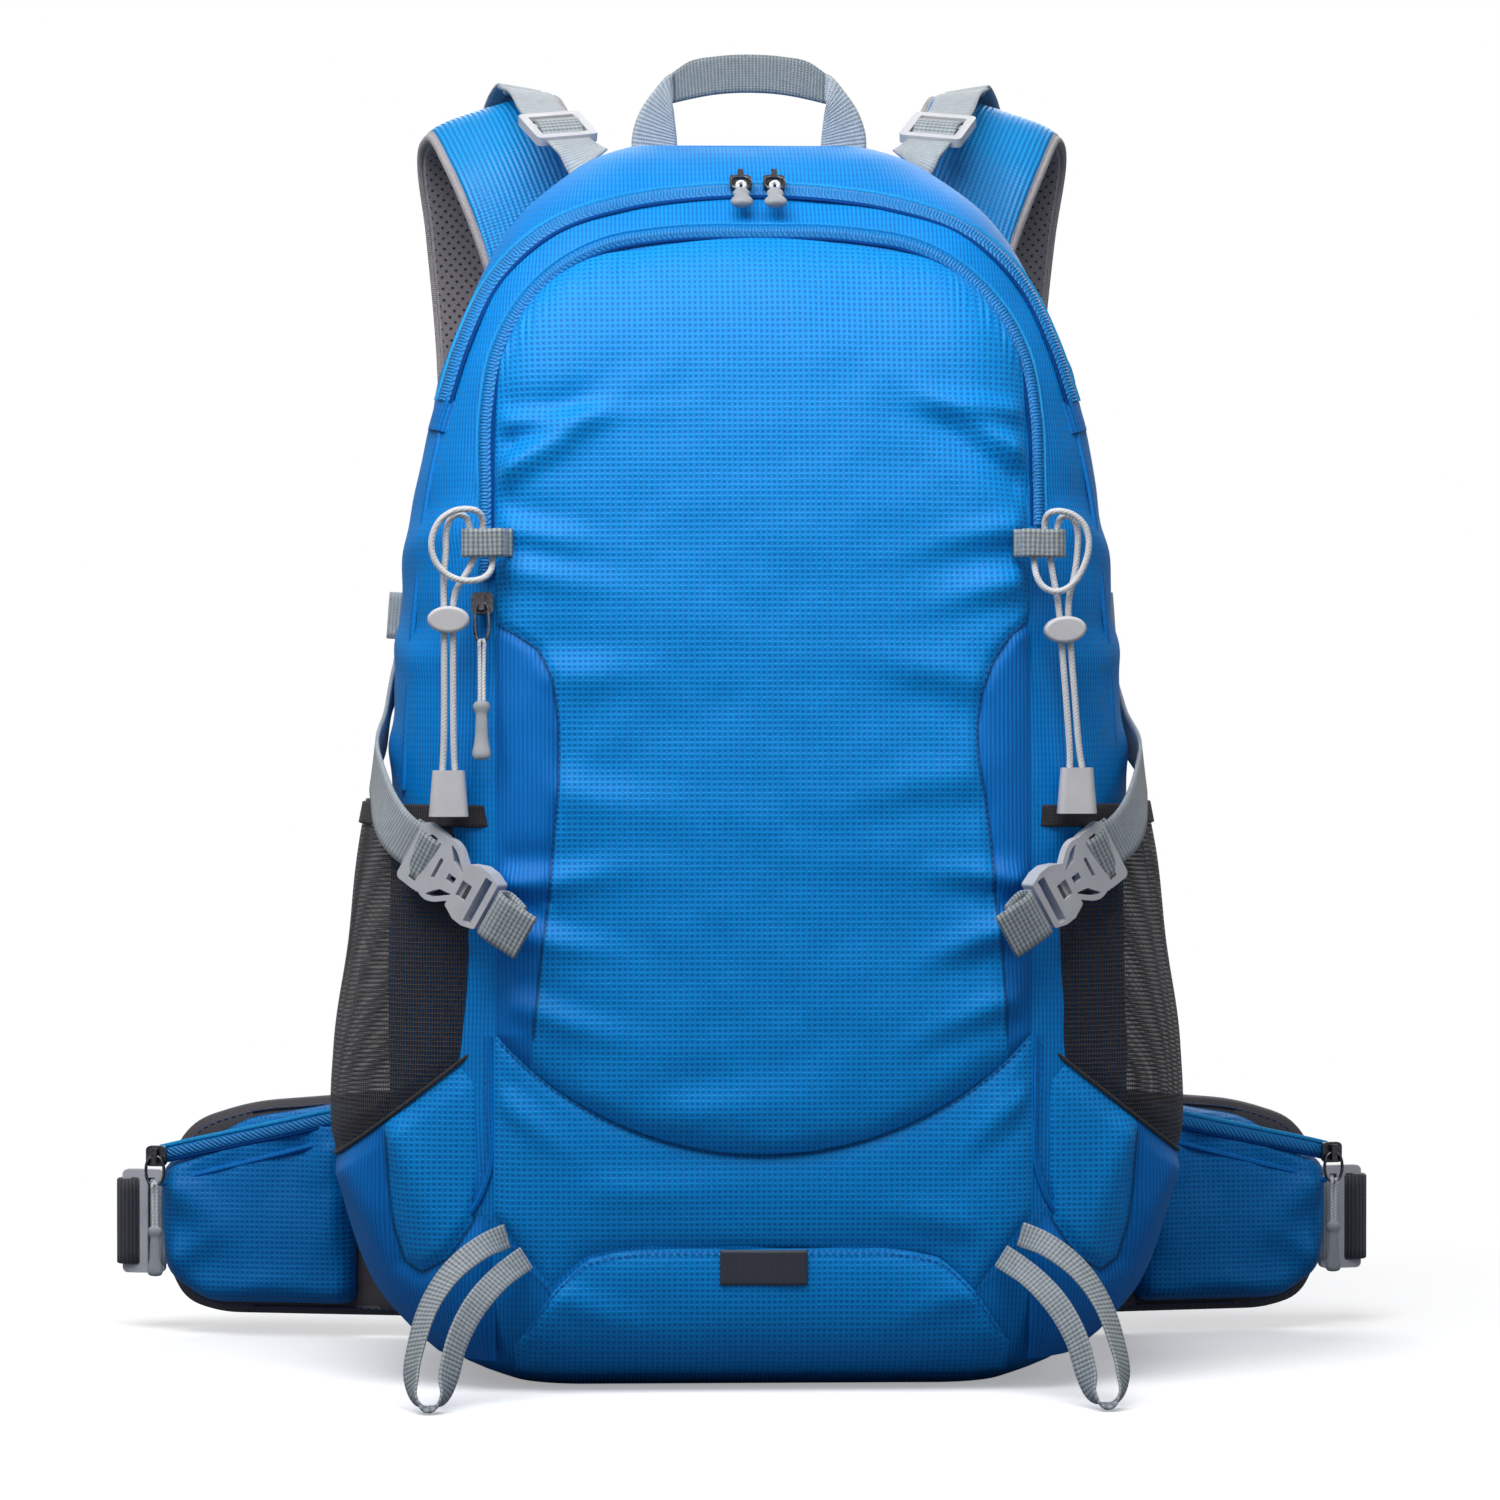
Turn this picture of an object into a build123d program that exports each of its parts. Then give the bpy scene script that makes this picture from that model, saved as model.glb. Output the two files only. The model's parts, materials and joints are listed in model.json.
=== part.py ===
from build123d import *
import os
from math import cos, radians, sin, tan

# A 28 litre hiking daypack. X runs across the bag, -Y is its front, +Y the wearer's side, Z is up.
# All sizes are in millimetres. Paired pieces are made for +X, the wearer's right, and mirrored.
os.makedirs("parts", exist_ok=True)

# The bag itself
bag_height = 517.0
bag_width = 306.0
front_reach = 98.0  # front of the bag ahead of y = 0
back_reach = 92.0  # back panel behind y = 0
shell_wall = 2.5
ease = 0.4  # room between sewn layers
panel_thick = 2.0
pocket_puff = 5.0  # how far the front pocket stands out of the bag

# Front pocket and the panels under it
front_half = 108.5
front_top = 471.0
front_corner_drop = 68.0
front_corner_in = 58.0
seam_side_z = 147.0
seam_mid_z = 98.6
rain_top_z = 60.5
rain_low_z = 7.0
label_width = 35.5
label_height = 14.5
label_thick = 0.8

# Side pockets
side_width = 352.0
side_wall = 2.0
side_mouth_z = 239.0
side_seam_z = 147.0  # mesh meets the solid cloth here at the front edge
side_seam_slope = 0.80

# Webbing, buckles and cord
webbing = 20.0
webbing_thick = 1.5
hip_webbing = 38.0
gear_webbing = 10.0
gear_thick = 1.2
buckle_length = 43.5
buckle_width = 27.0
buckle_thick = 8.0
release_travel = 20.0
fit = 0.4  # clearance in a moulded moving fit
lock_length = 28.0
lock_thick = 4.0
lock_bar = 4.0
lock_rim = 4.0
cord_diameter = 2.6
strand_gap = 3.6  # centre to centre of the two bungee strands
cap_gap = 6.4  # and where they spread inside the end cap
toggle_size = (17.0, 9.5, 10.9)
cap_size = (16.0, 10.0, 18.5)
toggle_down = 42.0
toggle_up = 4.0

# Zips
track_width = 8.0
track_thick = 1.8
slider_size = (9.0, 9.0, 2.8)
bail_height = 3.4
bail_thick = 1.0
bail_width = 2.4
ring_wire = 1.4
ring_width = 10.0
crown_travel = 34.0
front_zip_travel = 74.0
hip_zip_travel = 68.0

# Harness
strap_width = 60.0
strap_thick = 11.0
sternum_z = 372.0
sternum_up = 38.0
sternum_down = 42.0
rail_width = 9.0
rail_thick = 1.6
pad_thick = 10.0
handle_width = 102.0
handle_rise = 44.0
handle_thick = 2.4
handle_y = 70.0

# Hipbelt: its wings swing about upright seams at the edges of the lumbar pad
wing_hinge_x = 121.0
wing_hinge_y = 98.0
wing_lean = 11.5  # degrees back from square at rest
wing_length = 139.0
wing_thick = 12.0
wing_low = 9.0
wing_high = 112.0
pouch_start = 52.0
pouch_deep = 12.0
adjuster_length = 19.0
adjuster_low = 26.0

# The bag's form, from its base up: height, half width, front and back reach as shares, corner radius
bag_form = (
    (0.000, 0.732, 0.673, 0.717, 40.0),
    (0.039, 0.902, 0.878, 0.913, 55.0),
    (0.120, 0.980, 0.969, 0.978, 60.0),
    (0.294, 1.000, 1.000, 1.000, 62.0),
    (0.551, 0.987, 0.949, 1.000, 62.0),
    (0.745, 0.915, 0.816, 1.000, 58.0),
    (0.861, 0.790, 0.633, 0.978, 50.0),
    (0.942, 0.634, 0.327, 0.935, 38.0),
    (1.000, 0.405, -0.120, 0.826, 22.0),
)
# The side pockets' form: height, half width as a share of the pockets' span
side_form = ((12.0, 0.76), (42.0, 0.90), (112.0, 1.0), (172.0, 0.966), (side_mouth_z, 0.918))
side_corner = 60.0
side_front_back = (90.0, 84.0)


def bag(grow):
    """The bag's closed form, grown outwards by grow."""
    rings = []
    for share, half, front, back, corner in bag_form:
        z = share * bag_height + (grow if share == 1 else -grow if share == 0 else 0)
        near, far = -front * front_reach - grow, back * back_reach + grow
        wide = half * bag_width + 2 * grow
        outline = RectangleRounded(wide, far - near, corner + grow)
        rings.append(Pos(0, (near + far) / 2, z) * outline)
    return loft(rings, ruled=True)


def side_form_solid(grow):
    """The form of both side pockets together, as one bulge right round the bag."""
    near, far = side_front_back
    rings = []
    for z, share in side_form:
        outline = RectangleRounded(share * side_width + 2 * grow, near + far + 2 * grow, side_corner + grow)
        rings.append(Pos(0, (far - near) / 2, z) * outline)
    return loft(rings, ruled=True)


def group(*shapes):
    """One compound of every solid in the shapes, without crumbs."""
    return Compound(children=[s for shape in shapes for s in shape.solids() if s.volume > 1.0])


def other_side(shape):
    return group(shape.mirror(Plane.YZ))


def front_prism(outline):
    """An outline drawn in X and Z, run from the middle of the bag out through its front."""
    return extrude(Plane.XZ * outline, 2 * front_reach)


def back_prism(outline):
    return extrude(Plane.XZ * outline, -2 * back_reach)


bags = {0.0: bag(0)}


def layer(inner, outer, cut):
    """A sewn layer that follows the bag between two distances from its face, cut to a region."""
    for grow in (inner, outer):
        if grow not in bags:
            bags[grow] = bag(grow)
    return (bags[outer] & cut) - bags[inner]


bag_skin = bags[0.0].shells()[0]


def meet(start, way):
    """Where a line from inside the bag leaves it, and the outward normal there."""
    start, way = Vector(*start), Vector(*way).normalized()
    hits = bag_skin.find_intersection_points(Axis(tuple(start), tuple(way)))
    point, normal = max(hits, key=lambda hit: (hit[0] - start).dot(way))
    return point, normal if normal.dot(way) > 0 else normal * -1


def frame_at(point, along, outward):
    """A frame on a surface: X along, Z outwards, Y across."""
    outward = Vector(*outward).normalized()
    along = Vector(*along)
    along = (along - outward * along.dot(outward)).normalized()
    return Location(Plane(origin=tuple(point), x_dir=tuple(along), z_dir=tuple(outward)))


def strap(points, outwards, width, thick, pieces=14, ways=None):
    """Webbing through points: outwards are the directions that its face looks in at each point.
    ways are the directions that it starts and ends in, where another piece sets them."""
    spots = [Vector(*p) for p in points]
    path = Spline(spots, tangents=ways) if ways else Spline(spots)
    last = len(spots) - 1
    widths = width if isinstance(width, (tuple, list)) else (width,) * (last + 1)
    reached = [0.0]
    for before, after in zip(spots, spots[1:]):
        reached.append(reached[-1] + (after - before).length)
    rings = []
    for step in range(pieces + 1):
        at = step / pieces
        low = max(i for i in range(last) if reached[i] <= at * reached[-1] + 1e-9)
        share = (at * reached[-1] - reached[low]) / (reached[low + 1] - reached[low])
        face = Vector(*outwards[low]) * (1 - share) + Vector(*outwards[low + 1]) * share
        wide = widths[low] * (1 - share) + widths[low + 1] * share
        along = path % at
        across = along.cross(face).normalized()
        ring = Plane(origin=tuple(path @ at), x_dir=tuple(across), z_dir=tuple(along))
        rings.append(ring * Rectangle(wide, thick))
    return loft(rings, ruled=True)


def front_arc(side_z, mid_z, half):
    return ThreePointArc((-half, side_z), (0, mid_z), (half, side_z))


# ---- Bag shell: the closed main compartment ----
def main_shell():
    return bags[0.0] - bag(-shell_wall)


# ---- Stiffeners and sleeve in the back panel, and the folded rain cover, inside the shell ----
sheet_thick = 1.5
stay_thick = 3.0
stay_width = 20.0
sleeve_thick = 1.2
sleeve_half = 92.0
sheet_half = 98.0
sheet_low, sheet_high = 60.0, 440.0
cover_half = 78.0
cover_low, cover_high = 14.0, 54.0
cover_thick = 12.0


def inside_back(depth, thick, half, low, high):
    """A flat piece that lies along the inside of the back panel."""
    box = Pos(0, back_reach, (low + high) / 2) * Box(2 * half, back_reach, high - low)
    return layer(-(depth + thick), -depth, box)


sheet_depth = shell_wall + ease
stay_depth = sheet_depth + sheet_thick + ease
sleeve_depth = stay_depth + stay_thick + ease


def rain_cover():
    box = Pos(0, -front_reach, (cover_low + cover_high) / 2) * Box(
        2 * cover_half, front_reach, cover_high - cover_low
    )
    return layer(-(shell_wall + ease + cover_thick), -(shell_wall + ease), box)


# ---- Front pocket, the panel under it, the rain cover's pocket and its blank label ----
def front_pocket():
    corner_z = front_top - front_corner_drop
    inner = front_half - front_corner_in
    outline = make_face(
        [
            front_arc(seam_side_z, seam_mid_z, front_half),
            Line((front_half, seam_side_z), (front_half, corner_z)),
            ThreePointArc(
                (front_half, corner_z),
                (front_half - 0.27 * front_corner_in, front_top - 0.47 * front_corner_drop),
                (inner, front_top - 5),
            ),
            ThreePointArc((inner, front_top - 5), (0, front_top), (-inner, front_top - 5)),
            ThreePointArc(
                (-inner, front_top - 5),
                (-front_half + 0.27 * front_corner_in, front_top - 0.47 * front_corner_drop),
                (-front_half, corner_z),
            ),
            Line((-front_half, corner_z), (-front_half, seam_side_z)),
        ]
    )
    return layer(ease, ease + pocket_puff, front_prism(outline))


rain_seam = ((86.0, rain_top_z - 17.5), (70.0, rain_top_z - 3.5), (46.0, rain_top_z))


def lower_front_panel():
    down = [(front_half + 1, seam_side_z - 60), (front_half + 5.5, rain_top_z + 18.5), *rain_seam]
    back_up = [(-x, z) for x, z in reversed(down)]
    top = front_arc(seam_side_z - ease, seam_mid_z - ease, front_half + 1)
    outline = make_face([top, Polyline([top @ 1, *down, *back_up, top @ 0])])
    return layer(ease, ease + panel_thick, front_prism(outline))


def rain_cover_pocket():
    top = [(x - ease, z - ease) for x, z in rain_seam]
    low = [(100.0, rain_low_z), (92.0, rain_top_z - 30.5)]
    half = low + top
    outline = make_face(Polyline(half + [(-x, z) for x, z in reversed(half)], close=True))
    return layer(ease, ease + panel_thick, front_prism(outline))


def rain_pocket_label():
    middle = rain_top_z - 2 * ease - label_height / 2
    outline = Pos(0, middle) * Rectangle(label_width, label_height)
    inner = 2 * ease + panel_thick
    return layer(inner, inner + label_thick, front_prism(outline))


# ---- Side pockets: mesh above, solid cloth below ----
def side_pockets():
    """The right pocket as its mesh and its cloth base."""
    grown = bags.setdefault(ease, bag(ease))
    wall = (side_form_solid(0) - side_form_solid(-side_wall)) - grown
    right = wall & Pos(side_width / 2, 0, side_mouth_z / 2) * Box(
        side_width - 2 * front_half, 2 * back_reach, side_mouth_z
    )
    right -= Pos(0, 2 * back_reach - 20, side_mouth_z / 2) * Box(
        2 * (lumbar_half + ease), 2 * back_reach, 2 * side_mouth_z
    )
    reach = side_width / 2 - front_half + 10
    drop = side_seam_slope * reach
    below = make_face(
        Polyline(
            (front_half - 5, side_seam_z),
            (front_half, side_seam_z),
            (front_half + reach, side_seam_z - drop),
            (front_half + reach, 0),
            (front_half - 5, 0),
            close=True,
        )
    )
    low_block = extrude(Plane.XZ * below, bag_width, both=True)
    gap_block = Pos(0, 0, ease) * low_block
    return group(right - gap_block), group(right & low_block)


# ---- Webbing pieces sewn to the bag ----
tab_z = 345.8  # the bungee tabs
tab_height = 11.5
tab_in, tab_out = 105.0, 122.0
tab_sole = 6.0
tab_stand = 11.0  # the tabs arch over the zip, clear of its pull
tab_slot = 4.2
compression_tab_z = 195.0
side_tab_z = 317.0


def bungee_tab():
    """A folded tab: sewn at its inner end, its loop stands out over the zip beside it."""
    seat, _ = meet((tab_in - tab_sole, 0, tab_z - tab_height / 2), (0, -1, 0))
    near = seat.Y - pocket_puff - 2 * ease
    deep = tab_slot + 2 * webbing_thick
    front = near - tab_stand
    loop = Pos((tab_in + tab_out) / 2, front + deep / 2, tab_z) * (
        Box(tab_out - tab_in, deep, tab_height)
        - Box(tab_out - tab_in - 2 * webbing_thick, tab_slot, 2 * tab_height)
    )
    foot_long = near - front - deep
    foot = Pos(tab_in - webbing_thick / 2, near - foot_long / 2 - deep / 2, tab_z) * Box(
        webbing_thick, foot_long + deep, tab_height
    )
    sole = Pos(tab_in - tab_sole / 2, near - webbing_thick / 2, tab_z) * Box(
        tab_sole, webbing_thick, tab_height
    )
    return loop + foot + sole, front + deep / 2


def compression_tab():
    """Short webbing from the front pocket's side seam to the female half of the buckle."""
    band = Pos(102.0, compression_tab_z) * Rot(0, 0, 21.5) * Rectangle(14.0, webbing)
    return layer(2 * ease + pocket_puff, 2 * ease + pocket_puff + webbing_thick, front_prism(band))


def side_tab():
    """A small spare loop on the bag's side."""
    point, out = meet((60, 20, side_tab_z), (1, 0.15, 0))
    reach = 6.0
    place = frame_at(point + out * (ease + reach / 2), (0, 0, 1), out)
    return place * Box(webbing, 2 * webbing_thick, reach)


# ---- Side-release buckle, along X from the strap side to the tab side ----
neck = 16.6
tongue = 15.2
frame_slot = 3.6


def buckle_male():
    """Ladder, plate and two side arms. The arms run into the female half."""
    half = buckle_width / 2
    left = -buckle_length / 2
    ladder = Pos(left + 6, 0) * RectangleRounded(12, buckle_width, 2.5)
    slot = Pos(left + 7.2, 0) * Rectangle(frame_slot, webbing + 0.6)
    plate = make_face(
        Polyline(
            (left + 11, -half),
            (left + 11, half),
            (left + 15, half - 1),
            (left + 20, tongue / 2 - 1),
            (9, tongue / 2 - 3.6),
            (9, -tongue / 2 + 3.6),
            (left + 20, -tongue / 2 + 1),
            (left + 15, -half + 1),
            close=True,
        )
    )
    body = extrude(ladder - slot, lock_thick) + extrude(plate, lock_thick)
    windows = [Pos(1.0, 0) * Rectangle(4, 3), Pos(left + 15, 0) * Rectangle(1.6, 9)]
    for window in windows:
        body -= extrude(window, lock_thick)
    for side in (1, -1):
        arm = Spline(
            [
                (left + 12, side * (half - 2)),
                (left + 21, side * (half - 2.6)),
                (left + 27, side * (tongue / 2 - 1.2)),
                (11.5, side * (tongue / 2 - 1.2)),
            ]
        )
        body += extrude(trace(arm, 2.2), lock_thick)
    return Pos(0, 0, -lock_thick / 2) * body


def buckle_female():
    """A short socket with a bar for the tab's webbing."""
    right = buckle_length / 2
    half = buckle_width / 2 - 1
    rim = make_face(
        Polyline(
            (5, -neck / 2 - 1.5),
            (5, neck / 2 + 1.5),
            (11, half),
            (16, half),
            (right, half - 2),
            (right, -half + 2),
            (16, -half),
            (11, -half),
            close=True,
        )
    )
    body = extrude(rim, buckle_thick)
    body = fillet(body.edges().filter_by(Axis.Z), 1.2)
    room = lock_thick + 2 * fit
    socket = Pos(9.0, 0, buckle_thick / 2) * Box(8.4, neck, room)
    slot = Pos(right - 4.6, 0, buckle_thick / 2) * Box(frame_slot, webbing + 0.6, 2 * buckle_thick)
    view = Pos(9.5, 0, buckle_thick) * Box(5, 7, buckle_thick)
    return Pos(0, 0, -buckle_thick / 2) * (body - socket - slot - view)


buckle_ladder_end = (141.4, -87.5, 222.6)
buckle_tab_end = (111.0, -109.4, 198.8)


def compression_frame():
    ends = [Vector(*buckle_ladder_end), Vector(*buckle_tab_end)]
    middle = (ends[0] + ends[1]) / 2
    along = (ends[1] - ends[0]).normalized()
    return frame_at(middle, along, (0.50, -0.86, 0)), along


def compression_strap():
    """From the male half's ladder up and back round the bag's side to the back panel's seam."""
    start = Vector(*buckle_ladder_end)
    _, along = compression_frame()
    points, outs = [], []
    for angle, z, stand in ((-33, 251, 9.0), (-8, 269, 3.6), (14, 286, 2.4), (35, 299, 2.2), (52, 304, 2.0)):
        way = (cos(radians(angle)), sin(radians(angle)), 0)
        point, out = meet((70, 0, z), way)
        points.append(point + out * stand)
        outs.append(out)
    first_out = Vector(0.62, -0.78, 0)
    points.insert(0, start - along * (webbing_thick + fit))
    outs.insert(0, first_out)
    return strap(points, outs, webbing, webbing_thick)


# ---- Ladder locks: three bars in a frame, webbing across X ----
def ladder_lock(across, length):
    outer = RectangleRounded(across + 2 * lock_rim, length, 2.5)
    gap = (length - 3 * lock_bar) / 2
    for side in (1, -1):
        outer -= Pos(0, side * (lock_bar + gap) / 2) * Rectangle(across + 0.8, gap)
    return Pos(0, 0, -lock_thick / 2) * extrude(outer, lock_thick)


# ---- Shoulder straps with their rails ----
strap_path = (
    (80.0, 96.0, 448.0),
    (90.0, 101.0, 487.0),
    (103.0, 113.0, 522.0),
    (112.0, 134.0, 539.0),
    (116.0, 155.0, 530.0),
    (112.0, 170.0, 495.0),
    (107.0, 175.0, 440.0),
    (106.0, 175.5, 360.0),
    (108.0, 174.0, 290.0),
    (119.0, 167.0, 238.0),
    (129.0, 156.5, 203.0),
    (130.0, 148.0, 180.0),
)
strap_faces = (
    (0, -1, 0.15),
    (-0.1, -0.95, 0.3),
    (0.12, -0.65, 0.75),
    (0.32, -0.05, 0.94),
    (0.30, 0.75, 0.6),
    (0.15, 0.97, 0.2),
    (0.0, 1.0, 0.0),
    (0, 1, 0),
    (0, 1, 0),
    (0, 0.98, -0.2),
    (0, 0.95, -0.32),
    (0, 0.94, -0.35),
)
strap_widths = tuple(strap_width * share for share in (0.9, 0.97, 1, 1, 1, 1, 1, 1, 0.97, 0.9, 0.82, 0.75))
rail_x = 106.0
clip_lip = 1.2
pad_face_y = 175.6 + strap_thick / 2
rail_y = pad_face_y + clip_lip + 3 * fit + rail_thick / 2


rail_foot = 5.0
clip_height = 14.0


def shoulder_strap():
    pad = strap(strap_path, strap_faces, strap_widths, strap_thick, 26)
    rail_long = sternum_up + sternum_down + clip_height + 2 * rail_foot + 2 * fit
    rail_mid = sternum_z + (sternum_up - sternum_down) / 2
    rail = Pos(rail_x, rail_y, rail_mid) * Box(rail_width, rail_thick, rail_long)
    foot_deep = rail_y + rail_thick / 2 - pad_face_y - ease
    for end in (1, -1):
        foot = Box(rail_width, foot_deep, rail_foot)
        rail += Pos(rail_x, pad_face_y + ease + foot_deep / 2, rail_mid + end * (rail_long - rail_foot) / 2) * foot
    return group(pad, rail)


lifter_lock_at = (83.0, 81.0, 530.0)
lifter_way = Vector(-0.33, -0.83, -0.44).normalized()
lifter_out = Vector(-0.05, -0.45, 0.89)
lower_lock_at = (128.5, 143.0, 164.6)
lower_way = Vector(-0.32, -0.66, -0.68).normalized()
lower_out = Vector(-0.05, 0.72, -0.68)


def lock_place(at, way, out):
    """A frame whose Y runs along the webbing."""
    out = (out - way * out.dot(way)).normalized()
    across = way.cross(out)
    return Location(Plane(origin=tuple(at), x_dir=tuple(across), z_dir=tuple(out)))


def harness_webbing():
    """Load lifter and lower adjuster webbing of the right strap, each side of its ladder lock."""
    reach = lifter_way * (lock_length / 2 + ease)
    lock = Vector(*lifter_lock_at)
    crest = Vector(100.3, 136.0, 552.2)
    top, top_out = meet((45, 55, 480), (0.75, 0, 1))
    seat = top + top_out * (ease + webbing_thick / 2)
    lead = lifter_way * 5.0
    over = [crest, crest * 0.5 + (lock - reach - lead) * 0.5 + Vector(0, 0, 3.0), lock - reach - lead, lock - reach]
    over_out = [(-0.1, 0.1, 1), (-0.1, -0.2, 1), tuple(lifter_out), tuple(lifter_out)]
    lifter = strap(over, over_out, webbing, webbing_thick, 9, [over[1] - over[0], lifter_way])
    under = [lock + reach, lock + reach + lead * 0.8, (lock + reach) * 0.45 + seat * 0.55 + Vector(0, 0, 0.6), seat]
    under_out = [tuple(lifter_out), tuple(lifter_out), (0.15, -0.35, 1), tuple(top_out)]
    end = strap(under, under_out, webbing, webbing_thick, 8, [lifter_way, under[3] - under[2]])
    lower = Vector(*lower_lock_at) + lower_way * (lock_length / 2 + ease)
    anchor, out = meet((60, 0, 128), (0.55, 0.9, 0))
    foot = anchor + out * (ease + webbing_thick / 2)
    down = [lower, lower + lower_way * 4, lower * 0.5 + foot * 0.5 + Vector(2, 2, -2), foot]
    down_out = [tuple(lower_out), tuple(lower_out), (0.2, 0.8, -0.55), tuple(out)]
    hang = strap(down, down_out, webbing, webbing_thick, 9, [lower_way, foot - down[2]])
    return group(lifter, end, hang)


def ladder_locks():
    lock = ladder_lock(webbing, lock_length)
    lifter = lock_place(lifter_lock_at, lifter_way, lifter_out) * lock
    lower = lock_place(lower_lock_at, lower_way, lower_out) * lock
    return group(lifter, lower)


# ---- Sternum strap: clips that slide on the rails, webbing and a small buckle ----
clip_wall = 2.0
sternum_y = rail_y + rail_thick / 2 + 5.0
buckle_reach = buckle_length / 2 + fit


def sternum_clip():
    """A clip whose lips close behind the rail, with a post that carries the webbing."""
    room = rail_thick + 2 * fit
    deep = room + clip_wall + clip_lip
    body = Pos(0, (clip_wall - clip_lip) / 2, 0) * Box(rail_width + 2 * fit + 2 * clip_wall, deep, clip_height)
    body -= Box(rail_width + 2 * fit, room, 2 * clip_height)
    mouth = Pos(0, -deep / 2, 0) * Box(rail_width - 2, deep, 2 * clip_height)
    post = Pos(-rail_width / 2, room / 2 + clip_wall + 0.8, 0) * Box(5.0, 2.0 + clip_wall, clip_height)
    return Pos(rail_x, rail_y, sternum_z) * (body - mouth + post)


def sternum_webbing():
    inner = buckle_reach
    outer = rail_x - rail_width / 2 - 2.5 - fit
    long = outer - inner
    return Pos(inner + long / 2, sternum_y, sternum_z) * Box(long, webbing_thick, webbing)


# ---- Grab handle: a webbing arch that flops about its two sewn ends ----
handle_gap = 0.6
handle_base = bag_height + handle_gap
handle_hinge = handle_base + handle_thick / 2 + 0.1


def grab_handle():
    half = handle_width / 2
    top = handle_base + handle_rise
    side = [(half, handle_base), (half - 5, handle_base + 0.55 * handle_rise)]
    crown = Spline([side[-1], (half - 16, top - 5), (0, top), (-half + 16, top - 5), (-side[-1][0], side[-1][1])])
    inner_half = half - webbing
    inner_top = top - webbing * 0.86
    inside = Spline(
        [
            (-inner_half + 4, handle_base + 0.3 * handle_rise),
            (-inner_half + 11, inner_top - 3),
            (0, inner_top),
            (inner_half - 11, inner_top - 3),
            (inner_half - 4, handle_base + 0.3 * handle_rise),
        ]
    )
    outline = make_face(
        [
            Line(side[0], side[1]),
            crown,
            Line(crown @ 1, (-half, handle_base)),
            Line((-half, handle_base), (-inner_half, handle_base)),
            Line((-inner_half, handle_base), inside @ 0),
            inside,
            Line(inside @ 1, (inner_half, handle_base)),
            Line((inner_half, handle_base), side[0]),
        ]
    )
    return Pos(0, handle_y, 0) * extrude(Plane.XZ * outline, handle_thick / 2, both=True)


# ---- Zip sliders and pulls: X along the hinge, -Y the way the pull hangs, Z off the cloth ----
bar_height = slider_size[2] + bail_thick + 0.4


def zip_slider():
    long, wide, high = slider_size
    body = Pos(0, 0, high / 2) * Box(long, wide, high)
    body = fillet(body.edges().filter_by(Axis.Z), 2.0)
    bail = Pos(0, 0, high + bail_height / 2) * (
        Box(bail_width, 7.0, bail_height)
        - Pos(0, 0, -bail_thick) * Box(2 * bail_width, 7.0 - 2 * bail_thick, bail_height)
    )
    return body + bail


def zip_pull(ring_long, cord_long, grip_long, grip_wide, ring_wide=ring_width):
    """Wire ring on the bail, a doubled cord, and a moulded grip with a bulb at its end."""
    flat = ring_wire
    ring = Pos(0, ring_wire / 2 - ring_long / 2) * (
        RectangleRounded(ring_wide, ring_long, 0.4 * ring_wide)
        - RectangleRounded(ring_wide - 2 * ring_wire, ring_long - 2 * ring_wire, 0.4 * ring_wide - 1.2)
    )
    shape = extrude(ring, flat / 2, both=True)
    top = ring_wire - ring_long
    if cord_long > 0:
        shape += Pos(0, top - cord_long / 2, 0) * Box(3.0, cord_long + 1.0, 1.5)
    grip_top = top - cord_long
    neck_wide = 0.62 * grip_wide
    grip = make_face(
        Polyline(
            (-neck_wide / 2, grip_top + 0.6),
            (neck_wide / 2, grip_top + 0.6),
            (neck_wide / 2, grip_top - 0.62 * grip_long),
            (grip_wide / 2, grip_top - 0.75 * grip_long),
            (grip_wide / 2, grip_top - 0.95 * grip_long),
            (0.3 * grip_wide, grip_top - grip_long),
            (-0.3 * grip_wide, grip_top - grip_long),
            (-grip_wide / 2, grip_top - 0.95 * grip_long),
            (-grip_wide / 2, grip_top - 0.75 * grip_long),
            (-neck_wide / 2, grip_top - 0.62 * grip_long),
            close=True,
        )
    )
    return shape + extrude(grip, 2.2, both=True)


crown_z = 494.0
crown_apart = 7.0  # each slider's place from the middle
front_zip_x = front_half + 5.1
front_zip_z = 320.0
track_top = ease + track_thick


def main_zip_track():
    half = [(56.0, 488.0), (88.0, 476.0), (110.0, 455.0), (122.0, 430.0), (130.0, 405.0)]
    line = Spline([(-x, z) for x, z in reversed(half)] + [(0, crown_z)] + half)
    return layer(ease, track_top, front_prism(trace(line, track_width)))


def crown_frame():
    point, out = meet((crown_apart, 0, crown_z), (0, -1, 0))
    return frame_at(point + out * (track_top + fit), (1, 0, 0), out)


def front_zip_frame():
    """On the left edge of the front pocket: Y runs up the track."""
    low, out_low = meet((-front_zip_x, 0, front_zip_z), (0, -1, 0))
    high, out_high = meet((-front_zip_x, 0, front_zip_z + front_zip_travel), (0, -1, 0))
    up = (high - low).normalized()
    out = Vector(-0.05, -1, 0)
    out = (out - up * out.dot(up)).normalized()
    across = up.cross(out)
    place = Plane(origin=tuple(low + out * (track_top + 2.3)), x_dir=tuple(across), z_dir=tuple(out))
    return Location(place), up


def front_zip_track():
    """A straight bar of tape and coil under the slider's whole travel."""
    place, _ = front_zip_frame()
    long = front_zip_travel + 2 * slider_size[1]
    bar = Pos(0, long / 2 - slider_size[1], -fit - track_thick / 2) * Box(5.0, long, track_thick)
    clear = bags.setdefault(ease, bag(ease))
    return (place * bar) - clear


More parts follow.
